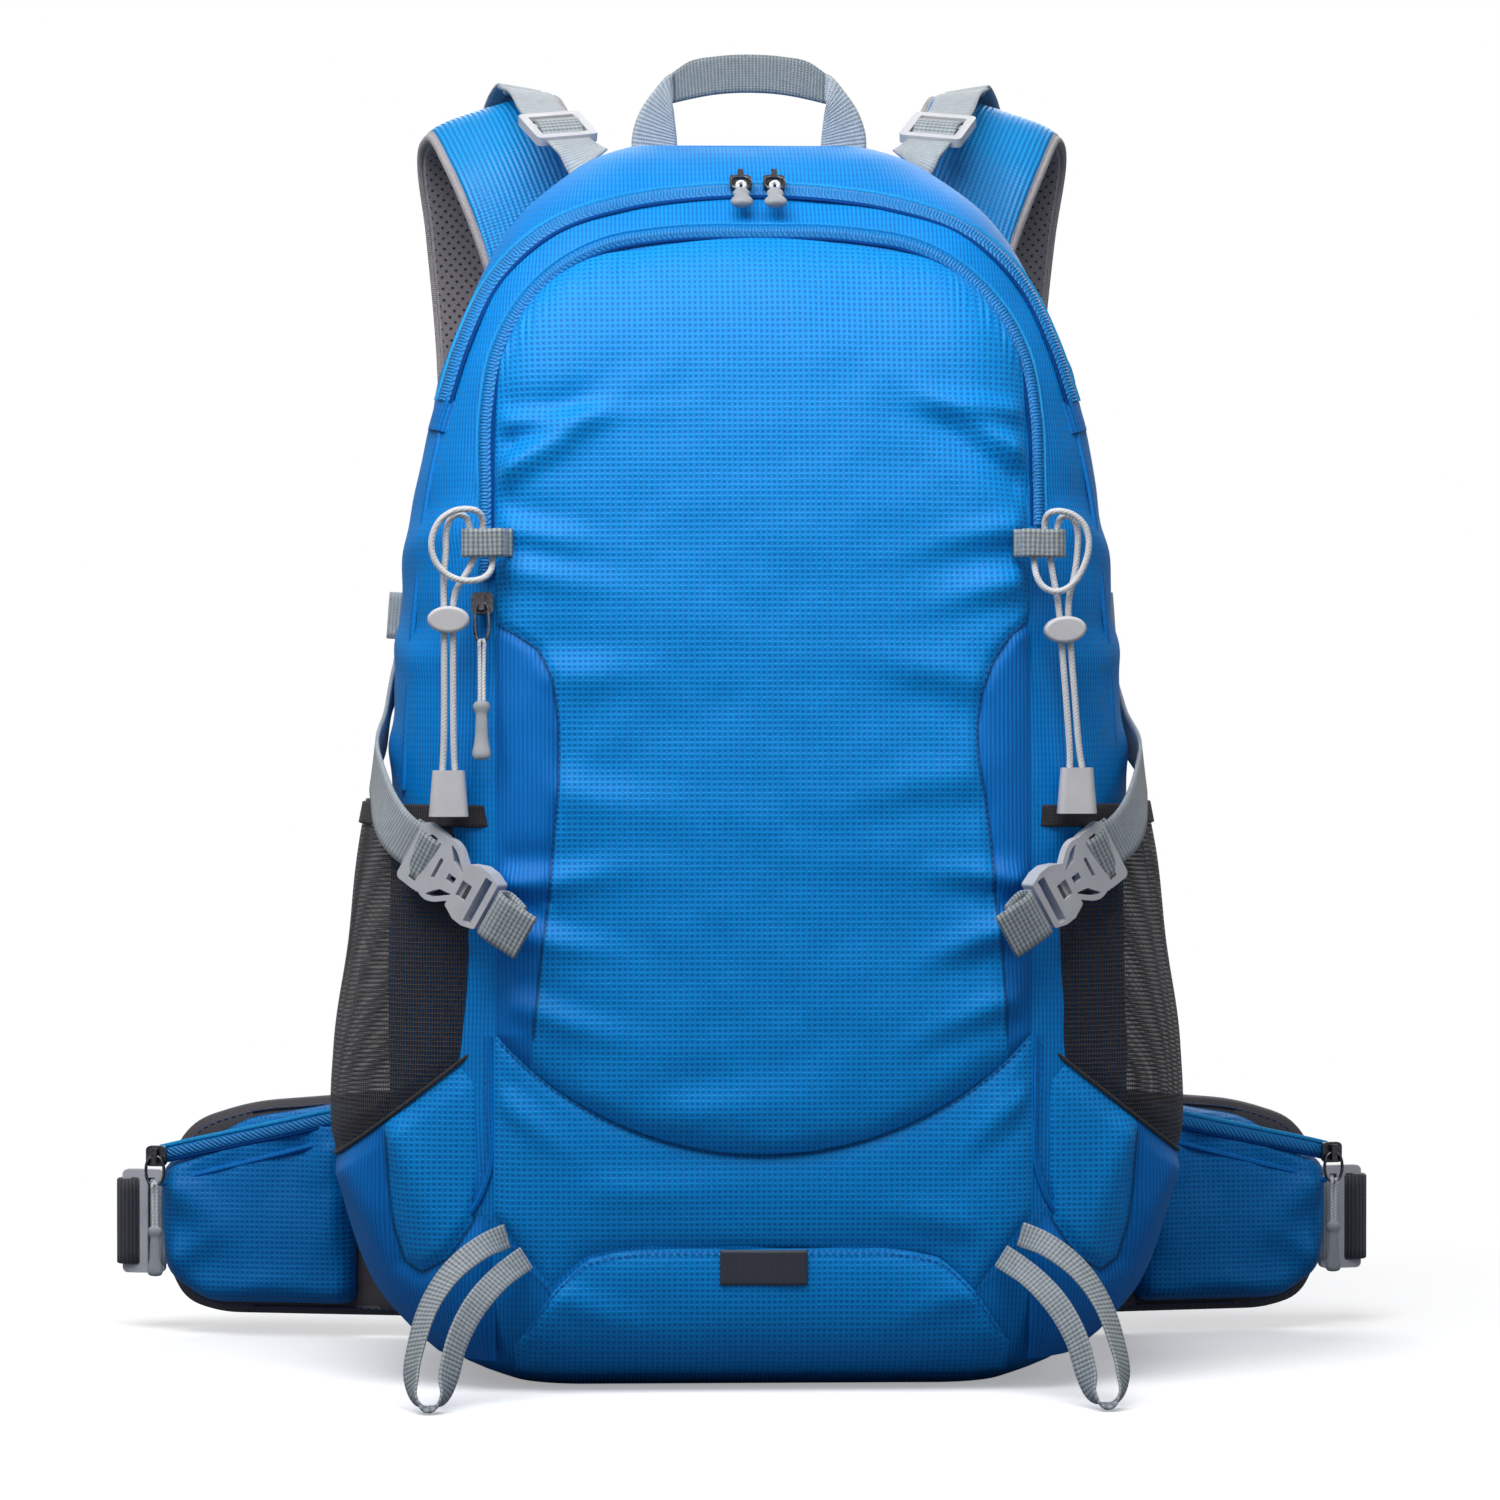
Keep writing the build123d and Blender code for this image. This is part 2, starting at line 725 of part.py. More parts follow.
# ---- Hipbelt, in a frame at the wing's hinge: X out along the wing, Y back, Z up ----
root_round = wing_thick / 2
lumbar_half = wing_hinge_x - root_round - ease
wing_place = Pos(wing_hinge_x, wing_hinge_y, 0) * Rot(0, 0, wing_lean)
pouch_low = wing_low + 5.0
hip_zip_start = (pouch_start + 8.0, 97.0)
hip_zip_end = (wing_length - 2.0, 80.0)
hip_face = -wing_thick / 2 - ease - pouch_deep


def hipbelt_wing():
    outline = make_face(
        [
            Line((0, wing_low), (wing_length - 26, wing_low)),
            ThreePointArc((wing_length - 26, wing_low), (wing_length - 6, wing_low + 8), (wing_length, 32)),
            Line((wing_length, 32), (wing_length, 74)),
            ThreePointArc((wing_length, 74), (wing_length - 12, 94), (wing_length - 40, 103)),
            Line((wing_length - 40, 103), (0, wing_high)),
            Line((0, wing_high), (0, wing_low)),
        ]
    )
    panel = extrude(Plane.XZ * outline, wing_thick / 2, both=True)
    root = Pos(0, 0, (wing_low + wing_high) / 2) * Cylinder(root_round, wing_high - wing_low)
    return wing_place * (panel + root)


def hipbelt_pouch():
    """A zipped pouch on the wing's outer face, with its track along the upper edge."""
    outline = make_face(
        Polyline(
            (pouch_start, pouch_low),
            (wing_length - 22, pouch_low),
            (wing_length - 2, pouch_low + 12),
            (wing_length, 76),
            (wing_length - 40, 97),
            (pouch_start, 105),
            close=True,
        )
    )
    back = -wing_thick / 2 - ease
    body = Pos(0, back, 0) * extrude(Plane.XZ * outline, pouch_deep)
    body = fillet(body.faces().sort_by(Axis.Y)[0].edges(), 3.5)
    start, end = Vector(*hip_zip_start), Vector(*hip_zip_end)
    tape = Plane.XZ * trace(Line(tuple(start), tuple(end)), track_width * 0.7)
    coil = Pos(0, hip_face - ease, 0) * extrude(tape, track_thick)
    return group(wing_place * body, wing_place * coil)


def hip_zip_frame():
    """At the slider, parked at the wing's tip: its pull hangs straight down."""
    x, z = hip_zip_end
    origin = (x, hip_face - ease - track_thick - fit, z)
    local = Location(Plane(origin=origin, x_dir=(1, 0, 0), z_dir=(0, -1, 0)))
    return wing_place * local


adjuster_mid = wing_length + adjuster_length / 2 + fit


def hip_adjuster():
    lock = ladder_lock(hip_webbing, adjuster_length)
    upright = Location(
        Plane(
            origin=(adjuster_mid, 0, adjuster_low + hip_webbing / 2 + lock_rim),
            x_dir=(0, 0, 1),
            z_dir=(0, -1, 0),
        )
    )
    return wing_place * upright * lock


tail_y = wing_thick / 2 + 2.5
tail_end = 56.0


def hip_web():
    """The belt webbing turns round the adjuster's outer bar and lies folded back behind the wing."""
    out = adjuster_mid + adjuster_length / 2 + fit + webbing_thick
    front = -lock_thick / 2 - fit - webbing_thick
    line = FilletPolyline(
        [
            (tail_end, tail_y),
            (wing_length + 4, tail_y),
            (out - 4, -front + 0.5),
            (out, 2.5),
            (out, -1.5),
            (out - 3, front),
            (adjuster_mid + 2, front),
        ],
        radius=2.0,
    )
    band = extrude(trace(line, webbing_thick), hip_webbing)
    return wing_place * Pos(0, 0, adjuster_low + lock_rim) * band


def hip_buckle(half):
    """A half of the 38 mm belt buckle at the end of the webbing."""
    z = adjuster_low + lock_rim + hip_webbing / 2
    scale_up = hip_webbing / webbing
    body = scale(half, by=(1.0, scale_up, 1.0))
    return wing_place * Pos(tail_end - buckle_length / 2 - fit, tail_y + buckle_thick / 2 - 1.5, z) * (
        Rot(90, 0, 0) * body
    )


# ---- Gear loops at the bag's lower corners ----
def gear_loop():
    first, out_a = meet((103.4, 0, 66), (0, -1, 0))
    last, out_b = meet((96.0, 0, 57), (0, -1, 0))
    stand = 2 * ease + panel_thick + gear_thick / 2
    points = [
        first + out_a * stand,
        (114.0, -107.5, 62.0),
        (126.0, -115.0, 53.0),
        (134.5, -122.0, 41.0),
        (139.5, -130.0, 27.0),
        (141.5, -138.0, 13.0),
        (139.0, -143.0, 4.6),
        (134.5, -144.5, 1.9),
        (130.0, -143.5, 4.6),
        (127.0, -139.0, 14.0),
        (124.0, -132.5, 26.0),
        (118.0, -123.0, 38.0),
        (108.0, -111.0, 49.0),
        last + out_b * stand,
    ]
    faces = [
        tuple(out_a),
        (0.2, -1, 0.3),
        (0.5, -0.8, 0.4),
        (0.8, -0.5, 0.4),
        (1, -0.2, 0.2),
        (1, 0, 0),
        (0.7, 0.1, -0.7),
        (0, 0.1, -1),
        (-0.7, 0, -0.7),
        (-1, -0.1, -0.1),
        (-0.8, -0.5, 0.1),
        (-0.5, -0.8, 0.3),
        (-0.1, -0.9, 0.4),
        tuple(out_b),
    ]
    return strap(points, faces, gear_webbing, gear_thick, 30)


# ---- Bungees: cord through the tab, a sliding toggle and an end cap ----
_, tab_y = bungee_tab()
loop_y = tab_y - 3.6  # the open loop lies in front of the two strands
left_toggle_at = (-127.4, 314.7)
right_toggle_at = (122.0, 310.7)
left_cap_z, right_cap_z = 244.5, 245.5
right_lean = -4.6  # the right strands run down and outwards


def bungee_route(points):
    return [Vector(x, y, z) for x, y, z in points]


# From inside the tab out over its end, down through the toggle, round inside the cap, back up
# through the toggle and the tab, round the open loop and back up into the tab.
left_route = bungee_route(
    (
        (-118.6, tab_y, 346.0),
        (-118.6, tab_y, 353.0),
        (-121.2, tab_y, 357.4),
        (-126.4, tab_y, 356.6),
        (-128.6, tab_y, 350.0),
        (-128.4, tab_y, 341.5),
        (-129.3, tab_y, 333.5),
        (-129.3, tab_y, 326.0),
        (-129.2, tab_y, 312.0),
        (-129.2, tab_y, 290.0),
        (-129.3, tab_y, 266.0),
        (-129.9, tab_y, 254.0),
        (-130.4, tab_y, 246.5),
        (-130.3, tab_y, 239.5),
        (-124.5, tab_y, 239.5),
        (-124.4, tab_y, 246.5),
        (-124.9, tab_y, 254.0),
        (-125.5, tab_y, 266.0),
        (-125.6, tab_y, 290.0),
        (-125.6, tab_y, 312.0),
        (-125.5, tab_y, 325.5),
        (-120.6, tab_y, 332.5),
        (-117.4, tab_y, 338.5),
        (-114.6, tab_y, 346.0),
        (-113.2, tab_y + 0.2, 353.6),
        (-114.6, tab_y - 3.0, 358.2),
        (-119.6, loop_y - 0.8, 359.4),
        (-125.6, loop_y - 0.4, 358.6),
        (-131.4, loop_y, 354.6),
        (-134.6, loop_y, 347.0),
        (-133.6, loop_y, 339.0),
        (-128.6, loop_y - 0.4, 332.8),
        (-121.6, loop_y - 0.6, 330.0),
        (-114.4, loop_y, 330.6),
        (-110.6, tab_y - 2.0, 333.4),
        (-109.4, tab_y + 0.2, 337.8),
        (-109.6, tab_y, 344.0),
    )
)
right_route = bungee_route(
    (
        (118.6, tab_y, 346.0),
        (118.6, tab_y, 353.0),
        (121.0, tab_y, 357.2),
        (125.6, tab_y, 356.0),
        (127.4, tab_y, 350.0),
        (127.0, tab_y, 341.4),
        (125.8, tab_y, 332.0),
        (122.95, tab_y, 321.5),
        (124.0, tab_y, 308.0),
        (125.8, tab_y, 286.0),
        (127.75, tab_y, 262.0),
        (129.2, tab_y, 254.0),
        (129.8, tab_y, 247.0),
        (129.9, tab_y, 240.5),
        (124.1, tab_y, 240.5),
        (124.0, tab_y, 247.0),
        (124.0, tab_y, 254.0),
        (124.1, tab_y, 262.0),
        (122.2, tab_y, 286.0),
        (120.4, tab_y, 308.0),
        (119.4, tab_y, 321.0),
        (117.6, tab_y, 330.0),
        (116.2, tab_y, 338.0),
        (114.6, tab_y, 346.0),
        (113.4, tab_y + 0.2, 353.6),
        (114.8, tab_y - 3.0, 358.0),
        (119.4, loop_y - 0.8, 358.8),
        (125.0, loop_y - 0.4, 357.4),
        (130.0, loop_y, 353.0),
        (131.8, loop_y, 345.6),
        (130.0, loop_y, 337.0),
        (125.4, loop_y, 329.0),
        (119.0, loop_y - 0.4, 325.4),
        (112.8, loop_y, 327.4),
        (110.0, tab_y - 2.2, 332.4),
        (109.4, tab_y + 0.2, 337.8),
        (109.4, tab_y, 344.0),
    )
)


def corner_radii(route):
    """The largest arc that each corner's two runs allow."""
    radii = []
    for before, at, after in zip(route, route[1:], route[2:]):
        turn = radians((at - before).get_angle(after - at))
        shorter = min((at - before).length, (after - at).length)
        radii.append(0.45 * shorter / tan(turn / 2))
    return radii


def cord_tube(route, name):
    radii = corner_radii(route)
    line = FilletPolyline(route, radius=radii)
    start = Plane(origin=tuple(route[0]), z_dir=tuple(route[1] - route[0]))
    tube = sweep(start * Circle(cord_diameter / 2), path=line)
    share = tube.volume / (line.length * 3.14159265 * cord_diameter**2 / 4)
    print(name, "length", round(line.length, 1), "tightest", round(min(radii), 2), "volume share", round(share, 4))
    print(name, "radii", [round(r, 1) for r in radii])
    return tube


def toggle(at, lean):
    """A pressed oval cord lock. Its slot lets both strands through over its whole travel."""
    wide, deep, high = toggle_size
    x, z = at
    body = extrude(Plane.XZ * Ellipse(wide / 2, high / 2), deep / 2, both=True)
    body = fillet(body.edges(), 1.5)
    slot_wide = strand_gap + cord_diameter + 2 * fit
    body -= Box(slot_wide, cord_diameter + 2 * fit, 2 * high)
    return Pos(x, tab_y, z) * Rot(0, lean, 0) * body


def end_cap(x, z):
    wide, deep, high = cap_size
    low = Pos(x, tab_y, z - high / 2) * RectangleRounded(wide, deep, 3.0)
    high_ring = Pos(x, tab_y, z + high / 2) * RectangleRounded(wide - 3.0, deep - 2.0, 2.5)
    body = loft([low, high_ring])
    room = Pos(x, tab_y, z + 1.8) * Box(cap_gap + cord_diameter + 2 * fit, cord_diameter + 2 * fit, high)
    return body - room


# ---- Back pads ----
def back_pads():
    """Two foam and mesh pads up the back and the lumbar pad below them."""
    upright = Pos(54, 290) * RectangleRounded(82, 290, 20)
    lumbar = Pos(0, (wing_low + wing_high) / 2 + 6) * RectangleRounded(2 * lumbar_half, 100, 14)
    shapes = [upright, Pos(-108, 0) * upright, lumbar]
    return group(*[layer(ease, pad_thick, back_prism(shape)) for shape in shapes])


# ---- Build every piece ----
nodes = {}
nodes["main_shell"] = main_shell()
nodes["frame_sheet"] = inside_back(sheet_depth, sheet_thick, sheet_half, sheet_low, sheet_high)
nodes["frame_stay"] = inside_back(stay_depth, stay_thick, stay_width / 2, sheet_low + 10, sheet_high - 10)
nodes["hydration_sleeve"] = inside_back(sleeve_depth, sleeve_thick, sleeve_half, sheet_low + 30, sheet_high - 30)
nodes["rain_cover"] = rain_cover()
nodes["front_pocket"] = front_pocket()
nodes["lower_front_panel"] = lower_front_panel()
nodes["rain_cover_pocket"] = rain_cover_pocket()
nodes["rain_pocket_label"] = rain_pocket_label()
nodes["back_pads"] = back_pads()

mesh, base = side_pockets()
nodes["right_pocket_mesh"], nodes["left_pocket_mesh"] = mesh, other_side(mesh)
nodes["right_pocket_base"], nodes["left_pocket_base"] = base, other_side(base)

tab, _ = bungee_tab()
tabs = group(tab, compression_tab(), side_tab())
nodes["webbing_tabs"] = group(tabs, other_side(tabs))

place, compression_along = compression_frame()
male, female = place * buckle_male(), place * buckle_female()
nodes["right_compression_male"], nodes["left_compression_male"] = male, other_side(male)
nodes["compression_females"] = group(female, other_side(female))
side_strap = compression_strap()
nodes["right_compression_strap"], nodes["left_compression_strap"] = side_strap, other_side(side_strap)

shoulder = shoulder_strap()
nodes["right_shoulder_strap"], nodes["left_shoulder_strap"] = shoulder, other_side(shoulder)
webs = harness_webbing()
nodes["harness_webbing"] = group(webs, other_side(webs))
locks = ladder_locks()
nodes["ladder_locks"] = group(locks, other_side(locks))

clip = sternum_clip()
nodes["sternum_clips"] = group(clip, other_side(clip))
nodes["sternum_webbing_right"] = sternum_webbing()
nodes["sternum_webbing_left"] = other_side(sternum_webbing())
sternum_frame = Pos(0, sternum_y, sternum_z) * Rot(0, 0, 180) * Rot(90, 0, 0)
nodes["sternum_male"] = sternum_frame * buckle_male()
nodes["sternum_female"] = sternum_frame * buckle_female()

nodes["grab_handle"] = grab_handle()

nodes["main_zip_track"] = main_zip_track()
crown = crown_frame()
crown_slider = crown * zip_slider()
crown_pull = crown * Pos(0, 0, bar_height) * zip_pull(10.6, 0, 13.0, 9.6)
nodes["main_zip_slider_right"], nodes["main_zip_slider_left"] = crown_slider, other_side(crown_slider)
nodes["main_zip_pull_right"], nodes["main_zip_pull_left"] = crown_pull, other_side(crown_pull)

front_place, front_up = front_zip_frame()
nodes["front_zip_track"] = front_zip_track()
nodes["front_zip_slider"] = front_place * zip_slider()
nodes["front_zip_pull"] = front_place * Pos(0, 0, bar_height) * zip_pull(18.0, 24.0, 24.0, 7.2, 7.2)

wing, pouch = hipbelt_wing(), hipbelt_pouch()
nodes["right_hipbelt_wing"], nodes["left_hipbelt_wing"] = wing, other_side(wing)
nodes["right_hipbelt_pouch"], nodes["left_hipbelt_pouch"] = pouch, other_side(pouch)
hip_place = hip_zip_frame()
hip_slider = hip_place * zip_slider()
hip_pull = hip_place * Pos(0, 0, bar_height) * zip_pull(14.0, 18.0, 22.0, 7.2)
nodes["right_hip_zip_slider"], nodes["left_hip_zip_slider"] = hip_slider, other_side(hip_slider)
nodes["right_hip_zip_pull"], nodes["left_hip_zip_pull"] = hip_pull, other_side(hip_pull)
adjuster, web = hip_adjuster(), hip_web()
nodes["right_hip_adjuster"], nodes["left_hip_adjuster"] = adjuster, other_side(adjuster)
nodes["right_hip_webbing"], nodes["left_hip_webbing"] = web, other_side(web)
nodes["hip_buckle_male"] = hip_buckle(Rot(0, 0, 180) * buckle_male())
nodes["hip_buckle_female"] = other_side(hip_buckle(buckle_female()))

loop = gear_loop()
nodes["gear_loops"] = group(loop, other_side(loop))

nodes["left_bungee_cord"] = cord_tube(left_route, "left bungee")
nodes["right_bungee_cord"] = cord_tube(right_route, "right bungee")
nodes["left_toggle"] = toggle(left_toggle_at, 0)
nodes["right_toggle"] = toggle(right_toggle_at, right_lean)
nodes["bungee_end_caps"] = group(end_cap(left_toggle_at[0], left_cap_z), end_cap(126.9, right_cap_z))

cord_nodes = ("left_bungee_cord", "right_bungee_cord", "left_toggle", "right_toggle", "bungee_end_caps")

# The frame's origin is the middle of the footprint, on the floor.
solid_box = Compound(children=[s for n in nodes if n not in cord_nodes for s in nodes[n].solids()]).bounding_box()
origin_shift = Vector(
    -(solid_box.min.X + solid_box.max.X) / 2,
    -(solid_box.min.Y + solid_box.max.Y) / 2,
    -solid_box.min.Z,
)
for name, shape in nodes.items():
    placed = Pos(*origin_shift) * group(shape)
    export_step(placed, f"parts/{name}.step")
print("nodes", len(nodes), "origin shift", origin_shift)
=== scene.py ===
import bpy
import json
import math
import numpy as np
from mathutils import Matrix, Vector, noise


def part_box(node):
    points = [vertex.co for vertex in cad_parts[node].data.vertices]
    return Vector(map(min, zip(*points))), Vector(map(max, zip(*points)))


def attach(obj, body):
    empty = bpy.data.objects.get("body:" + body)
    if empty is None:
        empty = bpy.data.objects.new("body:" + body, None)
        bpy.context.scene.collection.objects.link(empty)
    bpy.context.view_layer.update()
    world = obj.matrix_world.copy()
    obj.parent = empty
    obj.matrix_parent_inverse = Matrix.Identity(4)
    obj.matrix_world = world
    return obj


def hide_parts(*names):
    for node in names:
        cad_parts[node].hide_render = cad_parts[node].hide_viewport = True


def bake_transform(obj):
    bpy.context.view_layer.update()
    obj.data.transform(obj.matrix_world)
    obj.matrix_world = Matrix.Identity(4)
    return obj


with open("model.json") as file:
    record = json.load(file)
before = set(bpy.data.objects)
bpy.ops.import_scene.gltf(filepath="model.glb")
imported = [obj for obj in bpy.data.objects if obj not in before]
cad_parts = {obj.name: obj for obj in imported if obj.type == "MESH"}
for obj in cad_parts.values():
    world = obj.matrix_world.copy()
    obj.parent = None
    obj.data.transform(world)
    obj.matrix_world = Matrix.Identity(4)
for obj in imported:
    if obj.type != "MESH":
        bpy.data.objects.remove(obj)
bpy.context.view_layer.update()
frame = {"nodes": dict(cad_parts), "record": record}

# ---- Camera, light and floor ----
# The pack stands on a pale floor in a white studio, seen from the front and a little from
# its left, with broad soft light from above and in front.
MM = 0.001
WAVE = 2 * math.pi / 20  # at this scale a wave texture has its bands one unit apart
both_sides = (("left", -1), ("right", 1))


def linear(hex_colour, alpha=1.0):
    """An sRGB hex colour as linear values."""
    parts = [int(hex_colour[i : i + 2], 16) / 255 for i in (1, 3, 5)]
    return tuple(c / 12.92 if c <= 0.04045 else ((c + 0.055) / 1.055) ** 2.4 for c in parts) + (alpha,)


def add(tree, kind, inputs=(), **settings):
    """Adds a node: settings are its own values, inputs its sockets' values or the sockets they link to."""
    made = tree.nodes.new(kind)
    for name, value in settings.items():
        setattr(made, name, value)
    for socket, value in dict(inputs).items():
        if isinstance(value, bpy.types.NodeSocket):
            tree.links.new(value, made.inputs[socket])
        else:
            made.inputs[socket].default_value = value
    return made


scene = bpy.context.scene
scene.view_settings.view_transform = "Standard"

bag_low, bag_high = (Vector(v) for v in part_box("main_shell"))
back_set = bag_low.y + 98 * MM  # where the bag's own y = 0 lies in the frame

camera_data = bpy.data.cameras.new("studio_camera")
camera = bpy.data.objects.new("studio_camera", camera_data)
scene.collection.objects.link(camera)
stand_off = 2.2
front_plane = bag_low.y
camera.location = (-0.086, front_plane - stand_off, 0.300)
aim = Vector((-0.0057, front_plane, 0.262))
camera.rotation_euler = (aim - camera.location).to_track_quat("-Z", "Y").to_euler()
framed = 0.606  # the width in view at the bag's front, in metres
camera_data.sensor_width = 36
camera_data.lens = 36 * stand_off / framed
camera_data.clip_end = 30
scene.camera = camera


def soft_box(name, place, target, size, power):
    lamp = bpy.data.lights.new(name, "AREA")
    lamp.shape = "RECTANGLE"
    lamp.size, lamp.size_y = size
    lamp.energy = power
    lit = bpy.data.objects.new(name, lamp)
    lit.location = place
    lit.rotation_euler = (Vector(target) - Vector(place)).to_track_quat("-Z", "Y").to_euler()
    scene.collection.objects.link(lit)


soft_box("overhead_box", (-0.2, -0.56, 1.14), (0, -0.02, 0.42), (1.1, 0.7), 12.4)
soft_box("left_box", (-1.5, -1.2, 1.1), (0, 0, 0.35), (0.7, 1.0), 3.6)
soft_box("right_box", (1.6, -1.1, 1.0), (0, 0, 0.35), (0.7, 1.0), 3.0)
soft_box("rear_box", (0.3, 1.6, 1.3), (0, 0, 0.3), (1.4, 1.0), 15)

world = bpy.data.worlds.new("studio")
scene.world = world
world.use_nodes = True
sky = world.node_tree
sky.nodes.clear()
rays = add(sky, "ShaderNodeLightPath")
seen = add(
    sky, "ShaderNodeMath", {0: rays.outputs["Is Camera Ray"], 1: rays.outputs["Is Transmission Ray"]},
    operation="MAXIMUM"
)
fill_light = add(sky, "ShaderNodeBackground", {"Color": linear("#F2F5FA"), "Strength": 0.13})
white_wall = add(sky, "ShaderNodeBackground", {"Color": (1, 1, 1, 1), "Strength": 1.0})
dim_wall = add(sky, "ShaderNodeBackground", {"Color": (1, 1, 1, 1), "Strength": 0.4})
soft = add(
    sky, "ShaderNodeMixShader",
    {0: rays.outputs["Is Glossy Ray"], 1: fill_light.outputs[0], 2: dim_wall.outputs[0]}
)
choice = add(sky, "ShaderNodeMixShader", {0: seen.outputs[0], 1: soft.outputs[0], 2: white_wall.outputs[0]})
add(sky, "ShaderNodeOutputWorld", {"Surface": choice.outputs[0]})


def new_material(name):
    """An empty node material with its output, ready for a surface."""
    made = bpy.data.materials.new(name)
    made.use_nodes = True
    made.node_tree.nodes.clear()
    return made, made.node_tree, add(made.node_tree, "ShaderNodeOutputMaterial")


def bands(tree, vector, pitch, way, more=()):
    """A wave texture of threads a pitch apart."""
    return add(
        tree, "ShaderNodeTexWave", {"Vector": vector, "Scale": WAVE / pitch, **dict(more)},
        bands_direction=way
    )


def tinted(tree, share, low, high):
    """A colour from low to high by a share."""
    return add(tree, "ShaderNodeMix", {0: share, 6: low, 7: high}, data_type="RGBA")


def remap(tree, value, low, high, to_low, to_high):
    """A value stretched from one range to another and held at its ends."""
    return add(tree, "ShaderNodeMapRange", {0: value, 1: low, 2: high, 3: to_low, 4: to_high})


def bump(tree, strength, distance, height):
    return add(tree, "ShaderNodeBump", {"Strength": strength, "Distance": distance, "Height": height})


def coat(tree, output, sockets):
    """Ends a material in one principled surface."""
    surface = add(tree, "ShaderNodeBsdfPrincipled", sockets)
    tree.links.new(surface.outputs[0], output.inputs["Surface"])


def mesh_piece(name, points, faces, finish, uvs=None, smooth=True):
    """A mesh object: points in metres, uvs one pair for each point, in millimetres of cloth."""
    mesh = bpy.data.meshes.new(name)
    mesh.from_pydata([tuple(p) for p in points], [], faces)
    mesh.materials.append(finish)
    if uvs is not None:
        layer = mesh.uv_layers.new(name="cloth")
        corner_points = np.empty(len(mesh.loops), dtype=np.int64)
        mesh.loops.foreach_get("vertex_index", corner_points)
        layer.data.foreach_set("uv", np.asarray(uvs, dtype=np.float32)[corner_points].ravel())
    mesh.polygons.foreach_set("use_smooth", [smooth] * len(mesh.polygons))
    mesh.update()
    made = bpy.data.objects.new(name, mesh)
    scene.collection.objects.link(made)
    return made


floor_paint, tree, output = new_material("studio_floor")
rays = add(tree, "ShaderNodeLightPath")
lit_floor = add(tree, "ShaderNodeBsdfDiffuse", {"Color": linear("#FFFFFF")})
dull_floor = add(tree, "ShaderNodeBsdfDiffuse", {"Color": linear("#7C828C")})
bright = add(tree, "ShaderNodeEmission", {"Color": (1, 1, 1, 1), "Strength": 0.34})
both = add(tree, "ShaderNodeAddShader", {0: lit_floor.outputs[0], 1: bright.outputs[0]})
for_camera = add(
    tree, "ShaderNodeMixShader",
    {0: rays.outputs["Is Camera Ray"], 1: dull_floor.outputs[0], 2: both.outputs[0]}
)
where = add(tree, "ShaderNodeTexCoord")
from_pack = add(tree, "ShaderNodeVectorMath", {0: where.outputs["Object"]}, operation="LENGTH")
gone = add(
    tree, "ShaderNodeMapRange", {0: from_pack.outputs["Value"], 1: 0.36, 2: 0.72},
    interpolation_type="SMOOTHSTEP"
)
gone_seen = add(
    tree, "ShaderNodeMath", {0: gone.outputs[0], 1: rays.outputs["Is Camera Ray"]}, operation="MULTIPLY"
)
beyond = add(tree, "ShaderNodeEmission", {"Color": (1, 1, 1, 1), "Strength": 1.0})
faded = add(
    tree, "ShaderNodeMixShader", {0: gone_seen.outputs[0], 1: for_camera.outputs[0], 2: beyond.outputs[0]}
)
tree.links.new(faded.outputs[0], output.inputs["Surface"])
reach = 6.0
floor = mesh_piece(
    "studio_floor_sheet",
    [(-reach, -reach, 0), (reach, -reach, 0), (reach, reach, 0), (-reach, reach, 0)],
    [(0, 1, 2, 3)],
    floor_paint,
)

# ---- Bungee cords ----
# Two 2.6 mm braided elastic cords. Each is threaded through the webbing tab beside the front
# pocket, stands out as a loop, runs down through its toggle and turns inside the end cap.
cord_thick = 2.6 * MM
cord_y = sum(corner[1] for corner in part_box("left_toggle")) / 2
loop_out = 3.6  # the open loop lies this far in front of the strands, in mm

braid, tree, output = new_material("braided_elastic_cord")
where = add(tree, "ShaderNodeTexCoord")
turn = add(tree, "ShaderNodeMapping", {"Vector": where.outputs["Object"], "Rotation": (0.6, 0.5, 0.4)})
plait_pitch = 1.1 * MM
plait = add(
    tree,
    "ShaderNodeTexWave",
    {"Vector": turn.outputs[0], "Scale": 2 * math.pi / (20 * plait_pitch), "Distortion": 1.0},
    bands_direction="Z",
)
tone = tinted(tree, plait.outputs["Fac"], linear("#C9CBCE"), linear("#EDEDEE"))
relief = bump(tree, 0.5, 0.15 * MM, plait.outputs["Fac"])
coat(
    tree, output,
    {"Base Color": tone.outputs[2], "Roughness": 0.7, "Sheen Weight": 0.2, "Normal": relief.outputs[0]}
)


def bungee(name, route):
    """A cord on one smooth curve. Its route is x, how far behind the strands, and z, in mm."""
    points = [Vector((x * MM, cord_y + y * MM, z * MM)) for x, y, z in route]
    curve = bpy.data.curves.new(name, "CURVE")
    curve.dimensions = "3D"
    curve.resolution_u = 10
    curve.bevel_depth = cord_thick / 2
    curve.bevel_resolution = 3
    curve.use_fill_caps = True
    line = curve.splines.new("NURBS")
    line.points.add(len(points) - 1)
    for spot, point in zip(line.points, points):
        spot.co = (*point, 1)
    line.order_u = 3
    line.use_endpoint_u = True
    curve.materials.append(braid)
    cord = bpy.data.objects.new(name, curve)
    scene.collection.objects.link(cord)
    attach(cord, "pack")
    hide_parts(name + "_cord")


